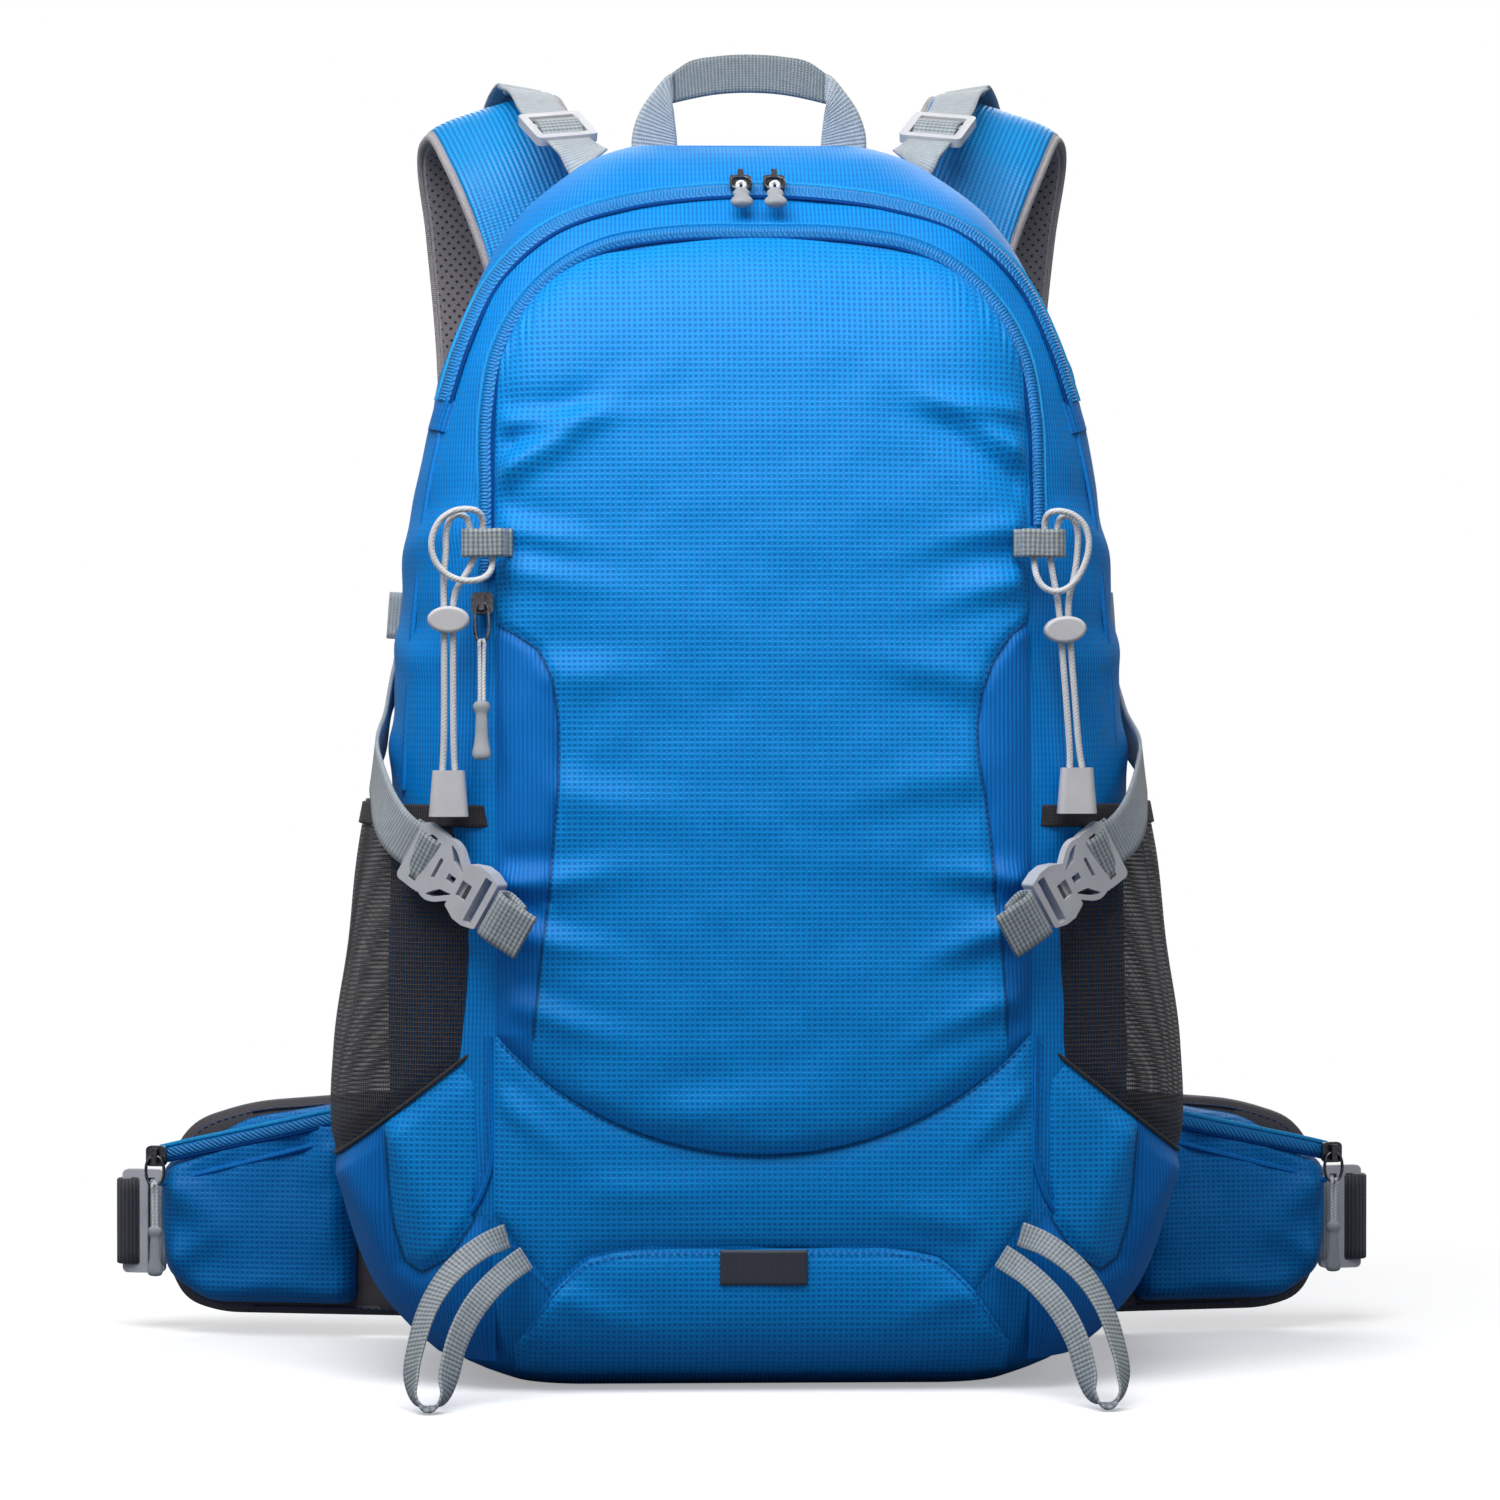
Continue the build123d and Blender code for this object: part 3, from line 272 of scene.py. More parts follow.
bungee(
    "left_bungee",
    (
        (-118.6, 0, 346.0), (-118.6, 0, 353.0), (-121.2, 0, 357.4), (-126.4, 0, 356.6), (-128.6, 0, 350.0),
        (-128.4, 0, 341.5), (-129.3, 0, 333.5), (-129.3, 0, 326.0), (-129.2, 0, 312.0), (-129.2, 0, 290.0),
        (-129.3, 0, 266.0), (-129.9, 0, 254.0), (-130.4, 0, 246.5), (-130.3, 0, 239.5), (-124.5, 0, 239.5),
        (-124.4, 0, 246.5), (-124.9, 0, 254.0), (-125.5, 0, 266.0), (-125.6, 0, 290.0), (-125.6, 0, 312.0),
        (-125.5, 0, 325.5), (-120.6, 0, 332.5), (-117.4, 0, 338.5), (-114.6, 0, 346.0),
        (-113.2, 0.2, 353.6), (-114.6, -3.0, 358.2), (-119.6, -loop_out - 0.8, 359.4),
        (-125.6, -loop_out - 0.4, 358.6), (-131.4, -loop_out, 354.6), (-134.6, -loop_out, 347.0),
        (-133.6, -loop_out, 339.0), (-128.6, -loop_out - 0.4, 332.8), (-121.6, -loop_out - 0.6, 330.0),
        (-114.4, -loop_out, 330.6), (-110.6, -2.0, 333.4), (-109.4, 0.2, 337.8), (-109.6, 0, 344.0),
    ),
)
bungee(
    "right_bungee",
    (
        (118.6, 0, 346.0), (118.6, 0, 353.0), (121.0, 0, 357.2), (125.6, 0, 356.0), (127.4, 0, 350.0),
        (127.0, 0, 341.4), (125.8, 0, 332.0), (122.95, 0, 321.5), (124.0, 0, 308.0), (125.8, 0, 286.0),
        (127.75, 0, 262.0), (129.2, 0, 254.0), (129.8, 0, 247.0), (129.9, 0, 240.5), (124.1, 0, 240.5),
        (124.0, 0, 247.0), (124.0, 0, 254.0), (124.1, 0, 262.0), (122.2, 0, 286.0), (120.4, 0, 308.0),
        (119.4, 0, 321.0), (117.6, 0, 330.0), (116.2, 0, 338.0), (114.6, 0, 346.0), (113.4, 0.2, 353.6),
        (114.8, -3.0, 358.0), (119.4, -loop_out - 0.8, 358.8), (125.0, -loop_out - 0.4, 357.4),
        (130.0, -loop_out, 353.0), (131.8, -loop_out, 345.6), (130.0, -loop_out, 337.0),
        (125.4, -loop_out, 329.0), (119.0, -loop_out - 0.4, 325.4), (112.8, -loop_out, 327.4),
        (110.0, -2.2, 332.4), (109.4, 0.2, 337.8), (109.4, 0, 344.0),
    ),
)

# ---- Bag body ----
# The main compartment: a sewn nylon shell, full of padding, that swells between its seams.
# Its form is the same table of heights, half widths and reaches that its pattern was cut to.
bag_tall = bag_high.z - bag_low.z
half_wide = (bag_high.x - bag_low.x) / 2
front_reach = 98 * MM
back_reach = 92 * MM
bag_form = np.array(
    [
        (0.000, 0.732, 0.673, 0.717, 40),
        (0.039, 0.902, 0.878, 0.913, 55),
        (0.120, 0.980, 0.969, 0.978, 60),
        (0.294, 1.000, 1.000, 1.000, 62),
        (0.551, 0.987, 0.949, 1.000, 62),
        (0.745, 0.915, 0.816, 1.000, 58),
        (0.861, 0.790, 0.633, 0.978, 50),
        (0.942, 0.634, 0.327, 0.935, 38),
        (1.000, 0.405, -0.120, 0.826, 22),
    ]
)


def hermite(t, span, low, low_slope, high, high_slope):
    """A cubic between two values, with the slopes that it has at them."""
    return (
        (2 * t**3 - 3 * t**2 + 1) * low
        + (t**3 - 2 * t**2 + t) * span * low_slope
        + (3 * t**2 - 2 * t**3) * high
        + (t**3 - t**2) * span * high_slope
    )


def eased(at, heights, values):
    """Values along a height on a smooth line through the table, with no overshoot."""
    steps = np.diff(values) / np.diff(heights)
    slopes = np.concatenate([[steps[0]], (steps[:-1] + steps[1:]) / 2, [steps[-1]]])
    flat = np.concatenate([[False], steps[:-1] * steps[1:] <= 0, [False]])
    slopes[flat] = 0
    at = np.clip(at, heights[0], heights[-1])
    low = np.clip(np.searchsorted(heights, at, side="right") - 1, 0, len(heights) - 2)
    span = heights[low + 1] - heights[low]
    t = (at - heights[low]) / span
    return hermite(t, span, values[low], slopes[low], values[low + 1], slopes[low + 1])


def bag_at(z):
    """Half width, front reach, back reach and corner radius of the bag at heights in metres."""
    share = np.asarray(z, dtype=float) / bag_tall
    wide = half_wide * eased(share, bag_form[:, 0], bag_form[:, 1])
    near = front_reach * eased(share, bag_form[:, 0], bag_form[:, 2])
    far = back_reach * eased(share, bag_form[:, 0], bag_form[:, 3])
    corner = MM * eased(share, bag_form[:, 0], bag_form[:, 4])
    return wide, near, far, corner


def bag_ring(z, count, wide, near, far, corner):
    """Points evenly round the bag's outline at one height, from the middle of its front to its right."""
    straight_x, straight_y = 2 * (wide - corner), near + far - 2 * corner
    quarter = math.pi * corner / 2
    total = 2 * straight_x + 2 * straight_y + 4 * quarter
    runs = [
        (straight_x / 2, lambda s: (s, -near)),
        (
            quarter,
            lambda s: (
                wide - corner + corner * math.sin(s / corner), -near + corner - corner * math.cos(s / corner)
            )
        ),
        (straight_y, lambda s: (wide, -near + corner + s)),
        (
            quarter,
            lambda s: (
                wide - corner + corner * math.cos(s / corner), far - corner + corner * math.sin(s / corner)
            )
        ),
        (straight_x, lambda s: (wide - corner - s, far)),
        (
            quarter,
            lambda s: (
                -wide + corner - corner * math.sin(s / corner), far - corner + corner * math.cos(s / corner)
            )
        ),
        (straight_y, lambda s: (-wide, far - corner - s)),
        (
            quarter,
            lambda s: (
                -wide + corner - corner * math.cos(s / corner), -near + corner - corner * math.sin(s / corner)
            )
        ),
        (straight_x / 2, lambda s: (-wide + corner + s, -near)),
    ]
    spots, run, start = [], 0, 0.0
    for step in range(count):
        s = total * step / count
        while run < len(runs) - 1 and s > start + runs[run][0]:
            start += runs[run][0]
            run += 1
        x, y = runs[run][1](s - start)
        spots.append((x, y + back_set, z))
    return spots, total


def front_y(x, z):
    """Where the bag's front lies behind each x and z, in metres."""
    wide, near, far, corner = bag_at(z)
    past = np.clip((np.abs(x) - (wide - corner)) / corner, 0, 1)
    return back_set - near + corner * (1 - np.sqrt(np.maximum(1 - past**2, 1e-6)))


def front_normal(x, z):
    d = 1.0 * MM
    slope_x = (front_y(x + d, z) - front_y(x - d, z)) / (2 * d)
    slope_z = (front_y(x, z + d) - front_y(x, z - d)) / (2 * d)
    way = np.stack([slope_x, -np.ones_like(slope_x), slope_z], axis=-1)
    return way / np.linalg.norm(way, axis=-1, keepdims=True)


def front_spots(x, z, lift):
    """Points at a distance off the bag's front, for arrays of x and z."""
    x, z = np.asarray(x, dtype=float), np.asarray(z, dtype=float)
    base = np.stack([x, front_y(x, z), z], axis=-1)
    return base + front_normal(x, z) * np.asarray(lift)[..., None]


def grid_faces(rows, columns, closed=False):
    """Faces of a grid of points stored row after row."""
    around = columns if closed else columns - 1
    return [
        (
            r * columns + c, r * columns + (c + 1) % columns, (r + 1) * columns + (c + 1) % columns,
            (r + 1) * columns + c
        )
        for r in range(rows - 1)
        for c in range(around)
    ]


def end_faces(rows, count):
    """The two faces that close a tube of rows, each of so many points."""
    return [tuple(reversed(range(count))), tuple(range((rows - 1) * count, rows * count))]


def reach_along(line):
    """How far along a line of points each point lies."""
    return np.concatenate([[0], np.cumsum(np.linalg.norm(np.diff(line, axis=0), axis=1))])


def unit(ways):
    ways = np.asarray(ways, dtype=float)
    return ways / np.linalg.norm(ways, axis=-1, keepdims=True)


def left_of(path):
    """The way to the left of a drawn line at each of its points."""
    ways = unit(np.gradient(path, axis=0))
    return np.stack([-ways[:, 1], ways[:, 0]], axis=1)


def mark_points(piece, attributes, *at):
    """Stores named values on a piece's points, each from its function of their places."""
    for label, values in attributes:
        data = piece.data.attributes.new(label, "FLOAT", "POINT")
        data.data.foreach_set("value", np.asarray(values(*at), dtype=np.float32).ravel())


def crease(x, z, start, end, broad, deep):
    """A soft fold pulled from its start and dying out towards its end: sizes in mm, deep in mm."""
    (x0, z0), (x1, z1) = start, end
    long = math.hypot(x1 - x0, z1 - z0)
    ux, uz = (x1 - x0) / long, (z1 - z0) / long
    along = ((x - x0) * ux + (z - z0) * uz) / long
    across = -(x - x0) * uz + (z - z0) * ux + 0.12 * broad * np.sin(5.0 * along)
    fade = np.exp(-np.clip(-along, 0, None) ** 2 * 60) * np.exp(-np.clip(along, 0, None) ** 2 * 3.2)
    body = np.exp(-((across / broad) ** 2)) - 0.55 * np.exp(-(((across - 1.5 * broad) / (1.2 * broad)) ** 2))
    return deep * fade * body


def waves(x, y, z, size, seed):
    """Smooth random swelling between -1 and 1, in waves of about one size."""
    values = np.empty(np.shape(x))
    flat = values.ravel()
    for i, (a, b, c) in enumerate(zip(np.ravel(x), np.ravel(y), np.ravel(z))):
        flat[i] = noise.noise((a / size + seed, b / size, c / size))
    return values


nylon_sheen = {
    "Specular IOR Level": 0.22, "Sheen Weight": 0.08, "Sheen Roughness": 0.4, "Sheen Tint": linear("#8EC6F2")
}


def ribbed_cloth(name, colour, deep_colour, rib=1.7, cross=2.6, cross_share=0.25, rough=0.52, depth=0.16):
    """Woven nylon with a fine rib down the cloth. The pitches rib and cross, in mm, are a little coarse."""
    made, tree, output = new_material(name)
    cloth = add(tree, "ShaderNodeUVMap", uv_map="cloth")
    wobble = {"Distortion": 0.25, "Detail": 1.0, "Detail Scale": 1.0}
    ribs = bands(tree, cloth.outputs[0], rib, "X", wobble)
    picks = bands(tree, cloth.outputs[0], cross, "Y", wobble)
    weave = add(tree, "ShaderNodeMix", {0: cross_share, 2: ribs.outputs["Fac"], 3: picks.outputs["Fac"]})
    shade = add(tree, "ShaderNodeTexNoise", {"Vector": cloth.outputs[0], "Scale": 0.03, "Detail": 3.0})
    tone = remap(tree, weave.outputs[0], 0.15, 0.75, 0.0, 1.0)
    mixed = tinted(tree, tone.outputs[0], linear(deep_colour), linear(colour))
    patchy = remap(tree, shade.outputs["Fac"], 0.3, 0.7, 0.93, 1.06)
    toned = add(
        tree, "ShaderNodeVectorMath", {0: mixed.outputs[2], "Scale": patchy.outputs[0]}, operation="SCALE"
    )
    relief = bump(tree, 0.55, depth * MM, weave.outputs[0])
    coat(tree, output, {
            "Base Color": toned.outputs[0],
            "Roughness": rough,
            **nylon_sheen,
            "Normal": relief.outputs[0],
        })
    return made


blue, deep_blue = "#0093EA", "#0072C8"
shell_cloth = ribbed_cloth("ribbed_nylon", blue, deep_blue)

columns = 300
heights = np.concatenate(
    [[0.0, 0.6, 2.0, 4.5, 8.0, 12.0], np.arange(17, 506, 3.2), [508, 510.5, 513, 515, 516.4, 517.0]]
) * MM
cloth_uv = []


def turned_in(gap, over):
    """How much narrower the bag is at a gap from its base or crown, where it rounds in over a height."""
    return 9 * MM * max(0.0, 1 - gap / over) ** 2.2


body_rows = []
for z in heights:
    wide, near, far, corner = (float(v) for v in bag_at(z))
    inset = turned_in(z, 12 * MM) + turned_in(bag_tall - z, 9 * MM)
    ring, total = bag_ring(z, columns, wide - inset, near - inset, far - inset, max(corner - inset, 8 * MM))
    body_rows.append(ring)
    for step in range(columns):
        cloth_uv.append((((step / columns + 0.5) % 1.0 - 0.5) * total / MM, z / MM))
body_grid = np.array(body_rows)

# Where the shell swells: soft waves all over, folds in the sides and over the shoulders.
flat = body_grid.reshape(-1, 3)
middle = np.array([0, back_set, 0.25])
away = flat - middle
away[:, 2] *= 0.15
away /= np.linalg.norm(away, axis=1, keepdims=True)
swell = 1.6 * MM * waves(flat[:, 0], flat[:, 1], flat[:, 2], 0.055, 3.0)
swell += 0.5 * MM * waves(flat[:, 0], flat[:, 1], flat[:, 2], 0.022, 9.0)
side = np.abs(flat[:, 0]) > 0.1
y_mm, z_mm = (flat[:, 1] - back_set) / MM, flat[:, 2] / MM
side_folds = (
    ((-70, 352), (20, 330), 9, 2.2),
    ((-60, 300), (40, 322), 8, 2.0),
    ((-20, 420), (60, 400), 9, 1.8),
    ((70, 380), (-10, 360), 8, 1.6),
    ((-40, 262), (60, 280), 8, 1.6),
)
folds = sum(crease(y_mm, z_mm, *fold) for fold in side_folds)
swell += np.where(side, folds * MM * np.clip((np.abs(flat[:, 0]) / MM - 100) / 25, 0, 1), 0)
rest = np.clip(flat[:, 2] / (30 * MM), 0, 1)
flat += away * (swell * rest)[:, None]
points = [tuple(p) for p in flat]
faces = grid_faces(len(heights), columns, closed=True)

# The crown and the base close the shell.
top_start = (len(heights) - 1) * columns
crown_middle = body_grid[-1].mean(axis=0)
for step, rise in ((0.93, 0.15), (0.8, 0.3), (0.55, 0.4), (0.25, 0.45)):
    for p in body_grid[-1]:
        spot = crown_middle + (p - crown_middle) * step
        points.append((spot[0], spot[1], bag_tall + rise * MM))
        cloth_uv.append((spot[0] / MM, bag_tall / MM + (spot[1] - crown_middle[1]) / MM))
points.append((crown_middle[0], crown_middle[1], bag_tall + 0.5 * MM))
cloth_uv.append((0, bag_tall / MM))
for ring in range(4):
    first = top_start + ring * columns
    faces += [
        (first + c, first + (c + 1) % columns, first + columns + (c + 1) % columns, first + columns + c)
        for c in range(columns)
    ]
last = top_start + 4 * columns
faces += [(last + c, last + (c + 1) % columns, len(points) - 1) for c in range(columns)]
base_middle = len(points)
points.append((0, back_set, 0))
cloth_uv.append((0, 0))
faces += [((c + 1) % columns, c, base_middle) for c in range(columns)]
bag_body = mesh_piece("bag_body", points, faces, shell_cloth, cloth_uv)
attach(bag_body, "pack")
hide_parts("main_shell")

# ---- Front pocket ----
# A waffle ripstop panel that puffs out of the bag, with a plain ribbed ear at each side under
# the tabs. It is sewn round its edge and pulled into folds by the tabs and the buckles.
pocket_half = 108.5
pocket_top = 471.0
ear_line_left = [
    (-109.5, 313.5), (-100, 308.5), (-91, 302), (-85.5, 290), (-83, 272), (-83, 250), (-85, 226), (-87, 201)
]
ear_line_right = [
    (109.5, 315), (100, 308.5), (92.5, 297), (88, 284), (86.3, 270), (87, 256), (90, 240), (92, 222),
    (93, 205)
]


def smooth_line(line, step=2.0, places=2):
    """A smooth line through points, in steps of about one length. Their first columns are places."""
    line = np.asarray(line, dtype=float)
    reached = reach_along(line[:, :places])
    count = max(3, int(reached[-1] / step) + 1)
    at = np.linspace(0, reached[-1], count)
    low = np.clip(np.searchsorted(reached, at, side="right") - 1, 0, len(line) - 2)
    slopes = np.gradient(line, reached, axis=0)
    span = (reached[low + 1] - reached[low])[:, None]
    t = ((at - reached[low])[:, None]) / span
    return hermite(t, span, line[low], slopes[low], line[low + 1], slopes[low + 1])


def side_of_line(x, z, line):
    """Distance from a line in mm, positive on its left as it is drawn."""
    best, sign = np.full(np.shape(x), 1e9), np.ones(np.shape(x))
    for (x0, z0), (x1, z1) in zip(line, line[1:]):
        long = (x1 - x0) ** 2 + (z1 - z0) ** 2
        t = np.clip(((x - x0) * (x1 - x0) + (z - z0) * (z1 - z0)) / long, 0, 1)
        away = np.hypot(x - x0 - t * (x1 - x0), z - z0 - t * (z1 - z0))
        turn = (x1 - x0) * (z - z0) - (z1 - z0) * (x - x0)
        closer = away < best - 1e-9
        sign = np.where(closer, np.where(turn >= 0, 1.0, -1.0), sign)
        best = np.where(closer, away, best)
    return best * sign


def pocket_foot(x):
    """The curved seam under the pocket."""
    rise, half = 147.0 - 98.6, pocket_half
    radius = (half**2 + rise**2) / (2 * rise)
    return 98.6 + radius - np.sqrt(radius**2 - x**2)


def pocket_head(x):
    """The pocket's upper edge: nearly level over the middle, rounded down to its sides."""
    past = np.clip((np.abs(x) - 50.5) / 58.0, 0, 1)
    return pocket_top - 5.0 * (np.abs(x) / 50.5) ** 2 * (past == 0) - (past > 0) * 5.0 - 63.0 * (
        1 - np.sqrt(1 - past**2.1)
    )


def waffle_ripstop(name, colour, deep_colour, rib_colour, rib_deep):
    """Nylon with a raised grid of thicker threads every 2.25 mm. Its ears are the plain ribbed cloth."""
    grid_pitch = 2.25
    made, tree, output = new_material(name)
    cloth = add(tree, "ShaderNodeUVMap", uv_map="cloth")
    wobble = {"Distortion": 0.35, "Detail": 1.0, "Detail Scale": 0.6}
    warp = bands(tree, cloth.outputs[0], grid_pitch, "X", wobble)
    weft = bands(tree, cloth.outputs[0], grid_pitch, "Y", wobble)
    ribs = bands(tree, cloth.outputs[0], 1.7, "X", wobble)
    ridge = add(tree, "ShaderNodeMath", {0: warp.outputs["Fac"], 1: weft.outputs["Fac"]}, operation="MAXIMUM")
    cells = remap(tree, ridge.outputs[0], 0.10, 0.85, 0.25, 1.0)
    rib_tone = remap(tree, ribs.outputs["Fac"], 0.2, 0.8, 0.35, 1.0)
    ear = add(tree, "ShaderNodeAttribute", attribute_name="ear")
    is_ear = remap(tree, ear.outputs["Fac"], -0.3, 0.3, 0.0, 1.0)
    grid_tone = tinted(tree, cells.outputs[0], linear(deep_colour), linear(colour))
    plain_tone = tinted(tree, rib_tone.outputs[0], linear(rib_deep), linear(rib_colour))
    mixed = tinted(tree, is_ear.outputs[0], grid_tone.outputs[2], plain_tone.outputs[2])
    # Near the seams that the ear attribute marks, the colour darkens to under half: painted shade in each seam's
    # groove.
    seam = add(tree, "ShaderNodeMath", {0: ear.outputs["Fac"]}, operation="ABSOLUTE")
    seam_groove_shade = remap(tree, seam.outputs[0], 0.25, 1.1, 0.42, 1.0)
    toned = add(
        tree, "ShaderNodeVectorMath", {0: mixed.outputs[2], "Scale": seam_groove_shade.outputs[0]},
        operation="SCALE"
    )
    height = add(tree, "ShaderNodeMix", {0: is_ear.outputs[0], 2: ridge.outputs[0], 3: ribs.outputs["Fac"]})
    relief = bump(tree, 0.7, 0.3 * MM, height.outputs[0])
    coat(tree, output, {
            "Base Color": toned.outputs[0],
            "Roughness": 0.5,
            **nylon_sheen,
            "Normal": relief.outputs[0],
        })
    return made


def front_panel(name, half, foot, head, lift, finish, step=1.6, attributes=()):
    """A panel on the bag's front between edges given for each x. lift is its height off the bag, in mm."""
    across = int(2 * half / step) + 1
    up = int(max(head(0.0) - foot(0.0), 20) / step) + 1
    u = np.linspace(-1, 1, across)
    # columns crowd towards the sides, where the edges are steep
    x = half * np.sin(u * math.pi / 2) * 0.35 + half * u * 0.65
    v = np.linspace(0, 1, up)[:, None]
    low, high = foot(x)[None, :], head(x)[None, :]
    z = low + (high - low) * v
    x = np.broadcast_to(x[None, :], z.shape)
    edge = np.minimum.reduce([np.abs(half - np.abs(x)), np.abs(z - low), np.abs(high - z)])
    off = lift(x, z, edge)
    spots = front_spots(x * MM, z * MM, off * MM).reshape(-1, 3)
    uvs = np.stack([x, z], axis=-1).reshape(-1, 2)
    made = mesh_piece(name, spots, grid_faces(up, across), finish, uvs)
    mark_points(made, attributes, x, z)
    return made


pocket_folds = (
    ((-108, 372), (-44, 412), 6.2, 6.4),
    ((-104, 394), (-34, 398), 5.0, 3.4),
    ((109, 378), (48, 418), 6.2, 6.0),
    ((105, 398), (40, 404), 5.0, 3.2),
    ((-108, 352), (-48, 340), 6.0, 3.4),
    ((-108, 336), (-40, 322), 6.5, 3.1),
    ((108, 352), (40, 338), 6.0, 3.4),
    ((108, 330), (50, 316), 6.0, 2.7),
    ((-108, 208), (-40, 214), 6.0, 4.3),
    ((-104, 190), (-48, 176), 6.0, 3.6),
    ((106, 208), (48, 216), 6.0, 4.3),
    ((104, 190), (52, 174), 6.0, 3.6),
    ((-84, 292), (-20, 296), 8.0, 2.3),
    ((84, 290), (24, 300), 8.0, 2.3),
    ((-80, 244), (-16, 236), 8.0, 1.8),
    ((80, 250), (10, 240), 8.0, 1.8),
    ((-96, 158), (-40, 140), 6.0, 2.5),
    ((98, 160), (44, 138), 6.0, 2.5),
    ((-30, 116), (60, 128), 8.0, 1.3),
)


def pocket_lift(x, z, edge):
    puffed = 0.2 + 5.4 * (1 - np.exp(-edge / 7.5)) + 2.4 * np.cos(
        np.clip(x / pocket_half, -1, 1) * math.pi / 2
    )
    folds = sum(crease(x, z, *fold) for fold in pocket_folds)
    ears = np.minimum(np.abs(side_of_line(x, z, ear_line_left)), np.abs(side_of_line(x, z, ear_line_right)))
    groove = 1.5 * np.exp(-((ears / 2.2) ** 2)) * (z < 316) * (z > 198)
    soft = 1.3 * waves(x, z, x * 0, 42, 1.7) + 0.5 * waves(x, z, x * 0, 16, 5.1)
    # rows of short gathers under the head seam
    gathers = 0.8 * np.sin(x * 2.2 + 1.1 * np.sin(x * 0.17)) * np.exp(-(((pocket_head(x) - z - 7) / 8) ** 2))
    return puffed - groove + (folds + soft + gathers) * np.clip(edge / 7, 0, 1)


no_ears = [("ear", lambda x, z: x * 0 - 50)]  # for a panel that is waffle cloth all over


def ear_side(x, z):
    """How far inside an ear a point lies, in mm: positive in the ears, negative in the waffle cloth."""
    left = -side_of_line(x, z, ear_line_left + [(-90, 180), (-93, 147)])
    right = side_of_line(x, z, ear_line_right + [(96, 180), (98, 147)])
    return np.where(x < 0, left, right)


front_cloth = waffle_ripstop("waffle_ripstop_nylon", "#0096EC", "#005FB6", "#0080DA", "#005FB6")
front_pocket = front_panel(
    "front_pocket_panel", pocket_half, pocket_foot, pocket_head, pocket_lift, front_cloth, 1.1, [("ear", ear_side)]
)
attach(front_pocket, "pack")
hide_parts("front_pocket")


def front_ribbon(name, line, profile, finish, step=2.0):
    """A strip along a line on the bag's front. profile is pairs of offset to its side and height, in mm."""
    path = smooth_line(line, step)
    aside = left_of(path)
    reached = reach_along(path)
    spots, uvs = [], []
    for offset, height in profile:
        at = path + aside * offset
        spots.append(front_spots(at[:, 0] * MM, at[:, 1] * MM, np.full(len(at), height * MM)))
        uvs.append(np.stack([np.full(len(at), offset), reached], axis=1))
    rows = len(profile)
    faces = grid_faces(rows, len(path))
    return mesh_piece(name, np.concatenate(spots), faces, finish, np.concatenate(uvs))


def round_profile(wide, high, sunk=0.6, count=9, base=0.0):
    """The rounded back of a welt or cord that is half sunk in the cloth."""
    return [
        (
            wide / 2 * math.cos(math.pi * (1 - k / (count - 1))),
            base - sunk + (high + sunk) * math.sin(math.pi * k / (count - 1))
        )
        for k in range(count)
    ]


def stitch_run(name, spots, outs, finish, pitch=3.0, long=2.1, thick=0.5):
    """A row of short sewn stitches, each a rounded dash of thread lying along the run: sizes in mm."""
    spots, outs = np.asarray(spots), np.asarray(outs)
    reached = reach_along(spots) / MM
    points, faces, facets = [], [], 6
    for start in np.arange(0.5, reached[-1] - long, pitch):
        here = []
        for s in (start, start + long * 0.2, start + long * 0.8, start + long):
            here.append(np.array([np.interp(s, reached, spots[:, k]) for k in range(3)]))
        out = np.array([np.interp(start + long / 2, reached, outs[:, k]) for k in range(3)])
        way = here[-1] - here[0]
        way /= np.linalg.norm(way)
        across = np.cross(way, out)
        across /= np.linalg.norm(across)
        out = np.cross(across, way)
        first = len(points)
        for spot, size in zip(here, (0.35, 1.0, 1.0, 0.35)):
            for turn in range(facets):
                a = 2 * math.pi * turn / facets
                points.append(spot + (across * math.cos(a) + out * math.sin(a)) * (thick / 2 * size * MM))
        for ring in range(3):
            for turn in range(facets):
                a, b = first + ring * facets + turn, first + ring * facets + (turn + 1) % facets
                faces.append((a, b, b + facets, a + facets))
        faces.append(tuple(first + t for t in reversed(range(facets))))
        faces.append(tuple(first + 3 * facets + t for t in range(facets)))
    return mesh_piece(name, points, faces, finish)


def sewing_thread(name, colour):
    """Bonded polyester thread: a slight sheen, darker than the cloth because it lies in its own shadow."""
    made, tree, output = new_material(name)
    grain = add(tree, "ShaderNodeTexNoise", {"Scale": 4000.0, "Detail": 2.0})
    tone = tinted(tree, grain.outputs["Fac"], linear(colour), linear("#1A73C4"))
    coat(tree, output, {"Base Color": tone.outputs[2], "Roughness": 0.5})
    return made


blue_thread = sewing_thread("blue_thread", "#0A4E9A")


def front_stitches(name, line, lift, finish=blue_thread, **sizes):
    """Stitches along a line on the bag's front. lift is their height in mm, or a function of x and z."""
    path = smooth_line(line, 1.5)
    high = lift(path[:, 0], path[:, 1]) if callable(lift) else np.full(len(path), lift)
    spots = front_spots(path[:, 0] * MM, path[:, 1] * MM, high * MM)
    outs = front_normal(path[:, 0] * MM, path[:, 1] * MM)
    made = stitch_run(name, spots, outs, finish, **sizes)
    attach(made, "pack")


def on_pocket(x, z):
    edge = np.minimum.reduce(
        [np.abs(pocket_half - np.abs(x)), np.abs(z - pocket_foot(x)), np.abs(pocket_head(x) - z)]
    )
    return pocket_lift(x, z, edge) + 0.2


front_stitches("left_ear_stitches", ear_line_left, on_pocket)
front_stitches("right_ear_stitches", ear_line_right, on_pocket)

# ---- Panels under the front pocket ----
# A curved panel of the same waffle cloth, then the rain cover's pocket along the base. A small
# dark woven label, left blank, is sewn over the pocket's mouth.
rain_top = 60.5


